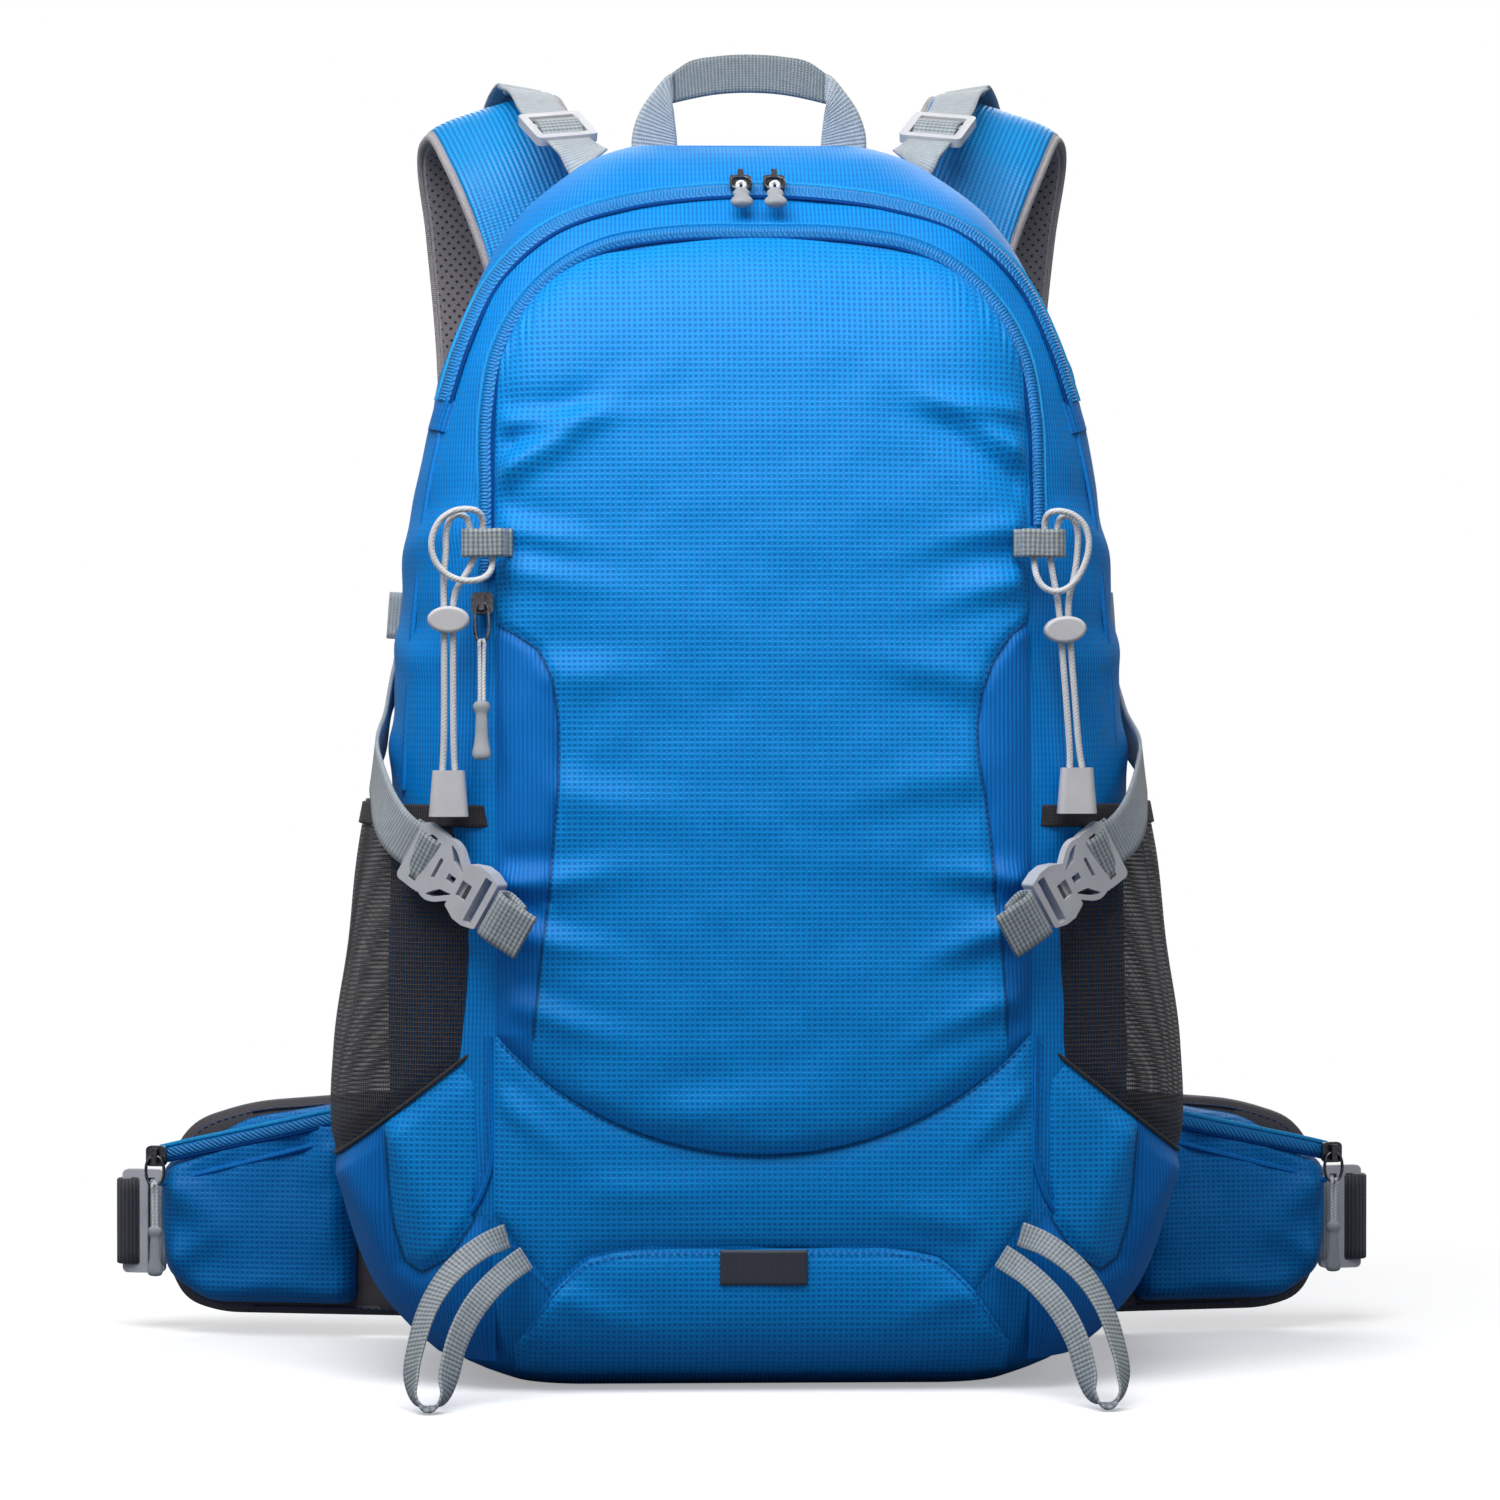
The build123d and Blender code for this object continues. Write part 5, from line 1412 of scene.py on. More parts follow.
seam_gap, tree, output = new_material("shaded_seam_gap")
grain = add(tree, "ShaderNodeTexNoise", {"Scale": 700.0, "Detail": 2.0})
tone = tinted(tree, grain.outputs["Fac"], linear("#053A80"), linear("#0A4C9A"))
coat(tree, output, {"Base Color": tone.outputs[2], "Roughness": 0.9, "Specular IOR Level": 0.1})
# A lighter copy of the shell's ribbed nylon: painted highlight along the piping's ridge.
highlight_piping = ribbed_cloth("piping_nylon_painted_highlight", "#22A6EA", "#0C90DA", rib=1.0, depth=0.08)


def shifted(line, aside):
    """A drawn line moved to its left by a distance."""
    path = smooth_line(line, 3.0)
    return path + left_of(path) * aside


def zip_line(name, line, gap=3.2, tape=5.6, lift=1.0):
    """Tape, coil, piping outside and shaded gap inside, along a line from left to right over the top."""
    half = tape / 2
    profile = [
        (-half, lift - 0.8), (-half + 0.5, lift + 0.4), (-1.4, lift + 0.5), (-1.2, lift + 1.0),
        (0, lift + 1.3), (1.2, lift + 1.0), (1.4, lift + 0.5), (half - 0.5, lift + 0.4), (half, lift - 0.8)
    ]
    made = front_ribbon(f"{name}_tape", line, profile, coil_tape, 1.2)
    pipe = front_ribbon(
        f"{name}_piping", shifted(line, gap), round_profile(1.1, lift + 0.8), highlight_piping, 1.5
    )
    dark = front_ribbon(
        f"{name}_gap", shifted(line, -gap - 0.1),
        [(-0.6, lift - 0.1), (-0.35, lift + 0.45), (0.35, lift + 0.45), (0.6, lift - 0.1)], seam_gap, 1.5
    )
    for piece, slot in ((made, "zip_coil"), (pipe, "pack_cloth"), (dark, "zip_coil")):
        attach(piece, "pack")
    return made


half_line = [(56, 488), (88, 476), (110, 455), (122, 430), (130, 405)]
crown_line = [(-x, z) for x, z in reversed(half_line)] + [(-28, 492.6), (0, 494), (28, 492.6)] + half_line
main_tape = zip_line("main_zip", crown_line, lift=0.8)
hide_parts("main_zip_track")
for side_name, s in both_sides:
    front_welt(
        f"{side_name}_zip_garage", [(s * x, z) for x, z in ((129.2, 406), (131.2, 400), (133.2, 393))], 8.4,
        1.5
    )
    front_welt(
        f"{side_name}_edge_seam",
        [(s * x, z) for x, z in ((130, 403), (137.5, 365), (142.5, 320), (145.5, 280), (147, 245))], 1.8, 0.7
    )
pocket_line = [
    (-112.4, 331), (-112.4, 365), (-112.0, 400), (-107.5, 425), (-97.5, 444), (-82, 459.5), (-64, 469),
    (-40, 473.6), (0, 475), (40, 473.6), (64, 469), (82, 459.5), (97.5, 444), (107.5, 425), (112.0, 400),
    (112.6, 372), (112.6, 353)
]
pocket_tape = zip_line("pocket_zip", pocket_line, gap=3.0, tape=5.2, lift=1.0)
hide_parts("front_zip_track")

# ---- Zip pulls ----
# Each pull is a wire ring on the slider, a loop of cord and a moulded grip.
joints = {joint["name"]: joint for joint in frame["record"]["behaviour"]["joints"]}


def hung(joint, up):
    """The place of a pull at its hinge: X along the hinge, Y up the cloth, Z off it, in mm."""
    pin = joints[joint]
    x_way = unit(-np.array(pin["axis"]))
    y_way = np.asarray(up, dtype=float)
    y_way = unit(y_way - x_way * y_way.dot(x_way))
    z_way = np.cross(x_way, y_way)
    origin = np.array(pin["pos_m"]) / MM - np.array([0, back_set / MM, 0])
    return lambda spots: origin + np.asarray(spots, dtype=float) @ np.array([x_way, y_way, z_way]), z_way


def grip_piece(name, put, top, profile, finish, body, flat=0.52):
    """A moulded grip: profile is pairs of (distance down from its top, half width) in mm."""
    line = smooth_line(profile, 0.6, 2)
    count = 20
    rings = []
    for down, half in line:
        half = max(half, 0.05)
        for k in range(count):
            a = 2 * math.pi * k / count
            c, s = math.cos(a), math.sin(a)
            rings.append((half * c, top - down, min(half * flat, 2.3) * s))
    faces = grid_faces(len(line), count, closed=True) + end_faces(len(line), count)
    piece = mesh_piece(name, placed(put(rings)), faces, finish)
    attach(piece, body)
    return piece


dog_bone = [
    (0, 1.2), (0.8, 2.9), (2.4, 3.5), (3.9, 3.1), (4.9, 2.55), (9, 2.5), (14, 2.65), (17.5, 3.0), (20.5, 3.6),
    (22.6, 3.6), (23.7, 2.9), (24.2, 1.2)
]
bulb = [
    (0, 1.0), (0.7, 2.2), (2.2, 3.1), (4.0, 3.6), (5.4, 3.1), (6.4, 3.0), (7.8, 3.8), (9.6, 4.7), (11.4, 4.5),
    (12.6, 3.2), (13.0, 1.4)
]


def zip_pull(name, joint, up, body, ring_long, ring_wide, cord_long, profile):
    put, out = hung(joint, up)
    wire, turn = 0.72, []
    for k in range(24):
        a = 2 * math.pi * k / 24
        c, s = math.cos(a), math.sin(a)
        turn.append(
            (
                abs(c) ** 0.8 * math.copysign(1, c) * (ring_wide / 2 - wire),
                -ring_long / 2 + 0.7 + abs(s) ** 0.9 * math.copysign(1, s) * (ring_long / 2 - wire), 0.0
            )
        )
    piping(
        f"{name}_ring", put(turn + turn[:1]), wire, gunmetal, body, step=0.8, outs=[out] * 25,
        closed=True
    )
    low = 0.9 - ring_long
    if cord_long:
        for k, s in enumerate((-1, 1)):
            strand = [
                (s * 0.4, low + 1.6, 1.4 * s), (s * 1.0, low + 0.4, 1.0), (s * 0.95, low - 2.5, 0.3),
                (s * 0.85, low - cord_long * 0.5, 0.1), (s * 0.85, low - cord_long - 1.5, 0)
            ]
            piping(
                f"{name}_cord_{k}", put(strand), 0.78, braid, body, step=0.9, outs=[out] * 5
            )
    else:
        knot = [
            (-1.2, low + 0.2, 0.2), (-1.5, low + 2.0, 1.2), (0, low + 3.0, 1.7), (1.5, low + 2.0, 1.2),
            (1.2, low + 0.2, 0.2)
        ]
        piping(f"{name}_cord", put(knot), 0.95, braid, body, step=0.7, outs=[out] * 5)
    return grip_piece(f"{name}_grip", put, low - cord_long + 0.4, profile, pull_rubber, body)


for side_name, s in both_sides:
    _, crown_out = bag_exit((7 * s, 0, 494), (0, -1, 0))
    crown_up = np.cross(crown_out, (1, 0, 0))
    grip = zip_pull(
        f"main_pull_{side_name}", f"main_pull_{side_name}_swing", crown_up, f"main_pull_{side_name}", 10.6,
        9.6, 0, bulb
    )
    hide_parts(f"main_zip_pull_{side_name}")
    grip = zip_pull(
        f"{side_name}_hip_pull", f"{side_name}_hip_pull_swing", (0, 0, 1), f"{side_name}_hip_pull", 14.0, 9.6,
        18.0, [(d * 0.91, h * 0.95) for d, h in dog_bone]
    )
    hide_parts(f"{side_name}_hip_zip_pull")
grip = zip_pull(
    "front_pull", "front_pull_swing", joints["front_zip"]["axis"], "front_pull", 18.0, 7.2, 24.0, dog_bone
)
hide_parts("front_zip_pull")

# ---- Side pockets ----
# Each side pocket bulges round the bag's side: knitted mesh above, held in by a bound elastic
# mouth, and puffed cloth below a slanting seam.
side_heights = np.array([12.0, 42.0, 112.0, 172.0, 239.0])
side_shares = np.array([0.76, 0.90, 1.0, 0.966, 0.918])
pocket_mouth, pocket_inner = 239.0, 108.5  # the mouth's height, and the edges' distance out


def pocket_ring(z, count):
    """Points from the right pocket's front seam round to its back seam at one height, in mm."""
    half = 176.0 * float(eased(z, side_heights, side_shares))
    line = []
    for y0, y_way, turn in ((-90.0, 1, -1), (84.0, -1, 1)):
        arc = [
            (
                half - 60 + 60 * math.sin(a), y0 + y_way * (60 - 60 * math.cos(a))
            ) for a in np.linspace(0, math.pi / 2, 24)
        ]
        piece = [(100.0, y0)] + arc if half - 60 > 100 else arc
        line += piece if turn < 0 else piece[::-1]
    line = np.array(line)
    keep = [i for i, (x, y) in enumerate(line) if x >= pocket_inner]
    first, last = keep[0], keep[-1]
    inside = line[first : last + 1]
    if first > 0:
        a, b = line[first - 1], line[first]
        t = (pocket_inner - a[0]) / (b[0] - a[0])
        inside = np.vstack([a + (b - a) * t, inside])
    if last < len(line) - 1:
        a, b = line[last], line[last + 1]
        t = (pocket_inner - a[0]) / (b[0] - a[0])
        inside = np.vstack([inside, a + (b - a) * t])
    reached = reach_along(inside)
    at = np.linspace(0, reached[-1], count)
    x, y = (np.interp(at, reached, inside[:, k]) for k in range(2))
    return np.column_stack([x, y, np.full(count, z)]), at


pocket_levels = np.arange(12.0, 239.5, 1.0)
around = 150
pocket_table = np.array([pocket_ring(z, around)[0] for z in pocket_levels])
pocket_reach = np.array([pocket_ring(z, around)[1] for z in pocket_levels])


def pocket_spot(column, z):
    """The pocket's face at a column and a height."""
    z = np.clip(z, 12.0, pocket_mouth)
    return np.array([np.interp(z, pocket_levels, pocket_table[:, column, k]) for k in range(2)] + [z])


def seam_height(column):
    """Where the slanting seam crosses a column."""
    z = 120.0
    for _ in range(8):
        z = 147.0 - 0.80 * (pocket_spot(column, z)[0] - pocket_inner)
    return z


seam_line = np.array([seam_height(c) for c in range(around)])


def pocket_sheet(name, low, high, rows, lift, finish, s, attributes=()):
    """Part of a pocket between two heights given for each column. lift is how far it stands off, in mm."""
    spots = np.empty((rows, around, 3))
    uvs = np.empty((rows, around, 2))
    for c in range(around):
        for r in range(rows):
            z = low[c] + (high[c] - low[c]) * r / (rows - 1)
            spots[r, c] = pocket_spot(c, z)
            uvs[r, c] = np.interp(z, pocket_levels, pocket_reach[:, c]), z
    ways_u = unit(np.gradient(spots, axis=1))
    ways_v = unit(np.gradient(spots, axis=0))
    outs = unit(np.cross(ways_u, ways_v))
    u = np.broadcast_to(np.linspace(0, 1, around)[None, :], (rows, around))
    v = np.broadcast_to(np.linspace(0, 1, rows)[:, None], (rows, around))
    off = lift(u, v, spots)
    spots = spots + outs * off[..., None]
    spots[:, :, 0] *= s
    faces = grid_faces(rows, around)
    if s < 0:
        faces = [f[::-1] for f in faces]
    piece = mesh_piece(name, placed(spots.reshape(-1, 3)), faces, finish, uvs.reshape(-1, 2))
    mark_points(piece, attributes, u, v, spots)
    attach(piece, "pack")
    return piece


def knitted_mesh(name, colour, deep_colour, across=2.3, up=1.9, clear=0.62):
    """Open knitted mesh: staggered oval holes between rounded yarns. The holes are thin, not empty."""
    made, tree, output = new_material(name)
    cloth = add(tree, "ShaderNodeUVMap", uv_map="cloth")
    split = add(tree, "ShaderNodeSeparateXYZ", {0: cloth.outputs[0]})
    x_turn = add(
        tree, "ShaderNodeMath", {0: split.outputs["X"], 1: 2 * math.pi / across}, operation="MULTIPLY"
    )
    y_turn = add(tree, "ShaderNodeMath", {0: split.outputs["Y"], 1: math.pi / up}, operation="MULTIPLY")
    x_wave = add(tree, "ShaderNodeMath", {0: x_turn.outputs[0]}, operation="COSINE")
    y_wave = add(tree, "ShaderNodeMath", {0: y_turn.outputs[0]}, operation="COSINE")
    cells = add(tree, "ShaderNodeMath", {0: x_wave.outputs[0], 1: y_wave.outputs[0]}, operation="MULTIPLY")
    size = add(tree, "ShaderNodeMath", {0: cells.outputs[0]}, operation="ABSOLUTE")
    hole = remap(tree, size.outputs[0], 0.34, 0.60, 0.0, clear)
    # Over the holes the colour runs down to the deep colour: painted shade in the holes, of which clear leaves a
    # share see-through.
    tone = remap(tree, size.outputs[0], 0.0, 0.5, 1.0, 0.0)
    mixed = tinted(tree, tone.outputs[0], linear(deep_colour), linear(colour))
    relief = bump(tree, 0.9, 0.4 * MM, tone.outputs[0])
    surface = add(
        tree,
        "ShaderNodeBsdfPrincipled",
        {
            "Base Color": mixed.outputs[2], "Roughness": 0.75, "Specular IOR Level": 0.25,
            "Sheen Weight": 0.2, "Normal": relief.outputs[0]
        },
    )
    clear_part = add(tree, "ShaderNodeBsdfTransparent")
    seen = add(
        tree, "ShaderNodeMixShader", {0: hole.outputs[0], 1: surface.outputs[0], 2: clear_part.outputs[0]}
    )
    tree.links.new(seen.outputs[0], output.inputs["Surface"])
    return made


pocket_knit = knitted_mesh("dark_knitted_mesh", "#464349", "#0D0C12", clear=0.42)
mouth_knit = knitted_mesh("elastic_mouth_binding", "#4A474B", "#2A282C", across=1.1, up=0.9, clear=0.0)


def mesh_lift(u, v, spots):
    x, y, z = spots[..., 0], spots[..., 1], spots[..., 2]
    gather = 1.5 * np.sin(u * 34 + 2.0 * np.sin(v * 3)) * np.clip(v, 0, 1) ** 2
    bulge = 2.0 * np.sin(np.clip(v, 0, 1) * math.pi) ** 0.8
    soft = 2.2 * waves(x, y, z, 46, 21.0)
    edge = np.clip(np.minimum(u, 1 - u) / 0.04, 0, 1) * np.clip(v / 0.06, 0, 1)
    return 0.2 + (gather + bulge + soft) * edge


def base_lift(u, v, spots):
    x, y, z = spots[..., 0], spots[..., 1], spots[..., 2]
    edge = np.clip(np.minimum(u, 1 - u) / 0.03, 0, 1) * np.clip((1 - v) / 0.10, 0, 1) * np.clip(v / 0.1, 0, 1)
    egg = egg_side(x, z, y)
    groove = -2.4 * np.exp(-((egg / 3.0) ** 2))
    soft = 1.8 * waves(x, y, z, 40, 31.0)
    folds = crease(x, z, (150, 110), (128, 40), 7.0, 2.6) + crease(x, z, (166, 86), (140, 26), 6.0, 2.2)
    return 0.2 + (2.4 + groove + soft + folds) * edge


egg_line = [
    (109.5, 146), (111.5, 118), (112, 90), (118, 70), (128, 55), (139, 48.5), (146, 53), (150.5, 68),
    (152.5, 86), (153.5, 104)
]


def egg_side(x, z, y):
    """How far a point is inside the egg-shaped front panel of the pocket's base, in mm."""
    return np.where(y < 0, side_of_line(np.abs(x), z, egg_line), -40.0)


for side_name, s in both_sides:
    low = np.maximum(seam_line + 0.2, 14.0)
    mesh_pocket = pocket_sheet(
        f"{side_name}_mesh_pocket", low, np.full(around, pocket_mouth - 1.0), 74, mesh_lift, pocket_knit, s,
    )
    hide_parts(f"{side_name}_pocket_mesh")
    base = pocket_sheet(
        f"{side_name}_pocket_cloth", np.full(around, 12.5), seam_line - 0.4, 60, base_lift, front_cloth, s,
        [("ear", lambda u, v, spots: egg_side(spots[..., 0], spots[..., 2], spots[..., 1]) * -1)]
    )
    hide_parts(f"{side_name}_pocket_base")
    columns_here, flip = range(0, around, 3), np.array([s, 1, 1])
    mouth_top, mouth_low = [], []
    for c in columns_here:
        high_spot, low_spot = pocket_spot(c, pocket_mouth), pocket_spot(c, pocket_mouth - 8.5)
        way = unit(pocket_spot(min(c + 1, around - 1), 236) - pocket_spot(max(c - 1, 0), 236))
        out = np.cross(way, (0, 0, 1))
        sway = 1.5 * math.sin(c / around * 34 + 2.0 * math.sin(2.9))
        mouth_top.append((high_spot + out * (0.9 + sway * 0.8) + np.array([0, 0, 0.6])) * flip)
        mouth_low.append((low_spot + out * (1.3 + sway)) * flip)
    edges = (mouth_low, mouth_top) if s > 0 else (mouth_top, mouth_low)
    ruled_band(f"{side_name}_pocket_mouth", *edges, 1.8, mouth_knit, slot="pocket_mesh")
    seam = np.array([pocket_spot(c, seam_line[c]) for c in columns_here])
    ways = unit(np.gradient(seam, axis=0))
    seam_out = unit(np.cross(ways, (0, 0, 1)))
    piping(
        f"{side_name}_pocket_seam", (seam + seam_out * 0.8) * flip, 0.9, mouth_knit,
        outs=seam_out * flip
    )

# ---- Shoulder straps ----
# Padded straps: glossy ribbed cloth outside, perforated grey mesh against the wearer, and a
# light binding folded round both edges.
strap_cloth, tree, output = new_material("glossy_ribbed_strap_cloth")
cloth = add(tree, "ShaderNodeUVMap", uv_map="cloth")
rib_pitch = 2.3
ribs = bands(tree, cloth.outputs[0], rib_pitch, "X", {"Distortion": 0.3, "Detail": 1.0})
cross = bands(tree, cloth.outputs[0], 1.6, "Y", {"Distortion": 0.4})
weave = add(tree, "ShaderNodeMix", {0: 0.22, 2: ribs.outputs["Fac"], 3: cross.outputs["Fac"]})
tone = tinted(tree, weave.outputs[0], linear("#0074C2"), linear("#0CA6F0"))
relief = bump(tree, 0.9, 0.5 * MM, weave.outputs[0])
coat(
    tree, output,
    {"Base Color": tone.outputs[2], "Roughness": 0.36, "Specular IOR Level": 0.4, "Normal": relief.outputs[0]}
)


def perforated_mesh(name, colour, deep_colour, hole_pitch=4.3, hole=0.62):
    """Smooth spacer mesh over foam, with staggered rows of small round holes."""
    made, tree, output = new_material(name)
    cloth = add(tree, "ShaderNodeUVMap", uv_map="cloth")
    split = add(tree, "ShaderNodeSeparateXYZ", {0: cloth.outputs[0]})
    nearest = None
    for shift in (0.0, 0.5):
        parts = []
        for axis, pitch in (("X", hole_pitch), ("Y", hole_pitch * 1.25)):
            moved = add(tree, "ShaderNodeMath", {0: split.outputs[axis], 1: shift * pitch}, operation="ADD")
            folded = add(tree, "ShaderNodeMath", {0: moved.outputs[0], 1: pitch / 2}, operation="PINGPONG")
            parts.append(folded)
        spot = add(tree, "ShaderNodeCombineXYZ", {0: parts[0].outputs[0], 1: parts[1].outputs[0]})
        far = add(tree, "ShaderNodeVectorMath", {0: spot.outputs[0]}, operation="LENGTH")
        nearest = far.outputs["Value"] if nearest is None else add(
            tree, "ShaderNodeMath", {0: nearest, 1: far.outputs["Value"]}, operation="MINIMUM"
        ).outputs[0]
    dot = remap(tree, nearest, hole * 0.7, hole * 1.25, 0.0, 1.0)
    fine = bands(tree, cloth.outputs[0], 0.8, "DIAGONAL", {"Distortion": 1.0})
    body_tone = tinted(tree, fine.outputs["Fac"], linear(deep_colour), linear(colour))
    mixed = tinted(tree, dot.outputs[0], linear("#2B292C"), body_tone.outputs[2])
    relief = bump(tree, 0.9, 0.7 * MM, dot.outputs[0])
    coat(
        tree, output,
        {"Base Color": mixed.outputs[2], "Roughness": 0.7, "Sheen Weight": 0.2, "Normal": relief.outputs[0]}
    )
    return made


spacer_mesh = perforated_mesh("perforated_spacer_mesh", "#958F94", "#827C81")
pale_binding = woven_webbing("pale_edge_binding", "#B9B4B6", "#9A9598", row=0.9, pick=0.9)
strap_path = [
    (80, 96, 448), (90, 101, 487), (103, 113, 522), (112, 134, 539), (116, 155, 530), (112, 170, 495),
    (107, 175, 440), (106, 175.5, 360), (108, 174, 290), (119, 167, 238), (129, 156.5, 203), (130, 148, 180)
]
strap_faces = [
    (0, -1, 0.15), (-0.1, -0.95, 0.3), (0.12, -0.65, 0.75), (0.32, -0.05, 0.94), (0.30, 0.75, 0.6),
    (0.15, 0.97, 0.2), (0.0, 1.0, 0.0), (0, 1, 0), (0, 1, 0), (0, 0.98, -0.2), (0, 0.95, -0.32),
    (0, 0.94, -0.35)
]
strap_widths = [54, 58.2, 60, 60, 60, 60, 60, 60, 58.2, 54, 49.2, 45]
strap_thick = 11.0


def shoulder_pad(name, s):
    """The padded band: a flattened pillow section whose edges are pinched into the binding."""
    flip = np.array([s, 1, 1])
    run = smooth_line(np.column_stack([strap_path, strap_faces, strap_widths]), 2.5, 3)
    spots, looks, wides = run[:, :3], unit(run[:, 3:6]), run[:, 6]
    ways = unit(np.gradient(spots, axis=0))
    across = unit(np.cross(ways, looks))
    looks = np.cross(across, ways)
    reached = reach_along(spots)
    section, kinds = [], []
    top = np.linspace(-0.93, 0.93, 21)
    for u in top:
        section.append((u, 0.5 * (1 - abs(u) ** 5 * 0.62)))
        kinds.append(0)
    for u, h in ((0.965, 0.14), (1.0, 0.07), (1.0, -0.10), (0.965, -0.17)):
        section.append((u, h))
        kinds.append(2)
    for u in top[::-1]:
        section.append((u, -0.5 * (1 - abs(u) ** 5 * 0.55)))
        kinds.append(1)
    for u, h in ((-0.965, -0.17), (-1.0, -0.10), (-1.0, 0.07), (-0.965, 0.14)):
        section.append((u, h))
        kinds.append(2)
    rows, count = len(spots), len(section)
    end = np.clip(np.minimum(reached, reached[-1] - reached) / 9.0, 0.0, 1.0)
    taper = 0.35 + 0.65 * np.sqrt(1 - (1 - end) ** 2)
    puff = 1 + 0.05 * np.sin(reached * 0.11 + 0.7)
    table = np.empty((rows, count, 3))
    uvs = np.empty((rows, count, 2))
    for k, (u, h) in enumerate(section):
        table[:, k] = spots + across * (u * wides / 2)[:, None] + looks * (
            h * strap_thick * taper * puff
        )[:, None]
        uvs[:, k] = np.column_stack([u * wides / 2, reached])
    table = table * flip
    faces, marks = [], []
    for r in range(rows - 1):
        for k in range(count):
            n = (k + 1) % count
            quad = (r * count + k, r * count + n, (r + 1) * count + n, (r + 1) * count + k)
            faces.append(quad if s > 0 else quad[::-1])
            marks.append(kinds[k] if kinds[k] == kinds[n] else 2)
    faces += end_faces(rows, count)
    marks += [2, 2]
    piece = mesh_piece(name, placed(table.reshape(-1, 3)), faces, strap_cloth, uvs.reshape(-1, 2))
    piece.data.materials.append(spacer_mesh)
    piece.data.materials.append(pale_binding)
    piece.data.polygons.foreach_set("material_index", marks)
    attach(piece, "pack")
    for sign in (-1, 1):
        line = (spots + across * (sign * (wides / 2 - 0.6))[:, None]) * flip
        piping(
            f"{name}_{'inner' if sign < 0 else 'outer'}_binding", line[1:-1:3], 1.7, pale_binding,
            outs=looks[1:-1:3] * flip, flat=1.25
        )
    return piece


rail_cover = moulded_plastic("dark_rail_plastic", "#4A4B50", "#3A3B40", rough=0.45)
rail_stand = 184.3
for side_name, s in both_sides:
    pad = shoulder_pad(f"{side_name}_padded_strap", s)
    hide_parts(f"{side_name}_shoulder_strap")
    yoke = np.array([(80.5, 94.6, 462), (80.2, 92.6, 450), (80, 91.6, 438)]) * np.array([s, 1, 1])
    band(f"{side_name}_strap_yoke", yoke, [(0, 1, 0.1)] * 3, 57.0, 2.6, strap_cloth)
    flip = np.array([s, 1, 1])
    rail = [
        (106, 180.5, 318.6), (106, 182.6, 318.8), (106, rail_stand, 320.4), (106, rail_stand, 326),
        (106, rail_stand, 370), (106, rail_stand, 414), (106, rail_stand, 419.6), (106, 182.6, 421.2),
        (106, 180.5, 421.4)
    ]
    rail_out = [
        (0, -0.2, -1), (0, 0.4, -1), (0, 1, -0.6), (0, 1, 0), (0, 1, 0), (0, 1, 0), (0, 1, 0.6), (0, 0.4, 1),
        (0, -0.2, 1)
    ]
    band(
        f"{side_name}_sternum_rail", np.array(rail) * flip, np.array(rail_out) * flip, 9.0, 1.6, rail_cover,
        step=1.0
    )

# ---- Sternum strap ----
sternum_stand = 190.1
half_web = [
    (22.2, sternum_stand, 372), (60, sternum_stand + 0.4, 371.6), (80, sternum_stand + 0.2, 371.8),
    (98.6, sternum_stand, 372)
]
left_web = band(
    "left_sternum_web", mirrored(half_web), [(0, 1, 0)] * 4, 20.0, 1.5, light_webbing, "sternum_strap"
)
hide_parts("sternum_webbing_left")
right_web = band("right_sternum_web", half_web, [(0, 1, 0)] * 4, 20.0, 1.5, light_webbing, None)
tuple(placed([92, sternum_stand, 372]))
tuple(placed([26, sternum_stand, 372]))
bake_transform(right_web)
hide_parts("sternum_webbing_right")

# ---- Hipbelt ----
# Each wing swings on its upright seam: a foam panel in dark smooth cloth, a puffed cloth pouch
# with a covered zip, and belt webbing through a flat adjuster.
def wing_put(s):
    """From the wing's own place, X out along it and Y back, to the pack's: in mm, mirrored on the left."""
    lean = math.radians(11.5)
    turn = np.array([[math.cos(lean), math.sin(lean), 0], [-math.sin(lean), math.cos(lean), 0], [0, 0, 1]])

    def put(spots):
        spots = np.asarray(spots, dtype=float) @ turn + np.array([121.0, 98.0, 0.0])
        return spots * np.array([s, 1, 1])

    def way(ways):
        return np.asarray(ways, dtype=float) @ turn * np.array([s, 1, 1])

    return put, way


def rounded_outline(corners, radius, step=2.5):
    """A closed outline through drawn corners, each rounded, as evenly spaced points."""
    corners = np.asarray(corners, dtype=float)
    line, count = [], len(corners)
    for i in range(count):
        before, at, after = corners[i - 1], corners[i], corners[(i + 1) % count]
        back, ahead = before - at, after - at
        cut = min(radius, 0.45 * np.linalg.norm(back), 0.45 * np.linalg.norm(ahead))
        start, end = at + unit(back) * cut, at + unit(ahead) * cut
        for t in np.linspace(0, 1, 7):
            line.append((1 - t) ** 2 * start + 2 * t * (1 - t) * at + t**2 * end)
    line.append(line[0])
    line = np.array(line)
    reached = reach_along(line)
    number = int(reached[-1] / step)
    at = np.linspace(0, reached[-1], number, endpoint=False)
    return np.column_stack([np.interp(at, reached, line[:, k]) for k in range(2)])


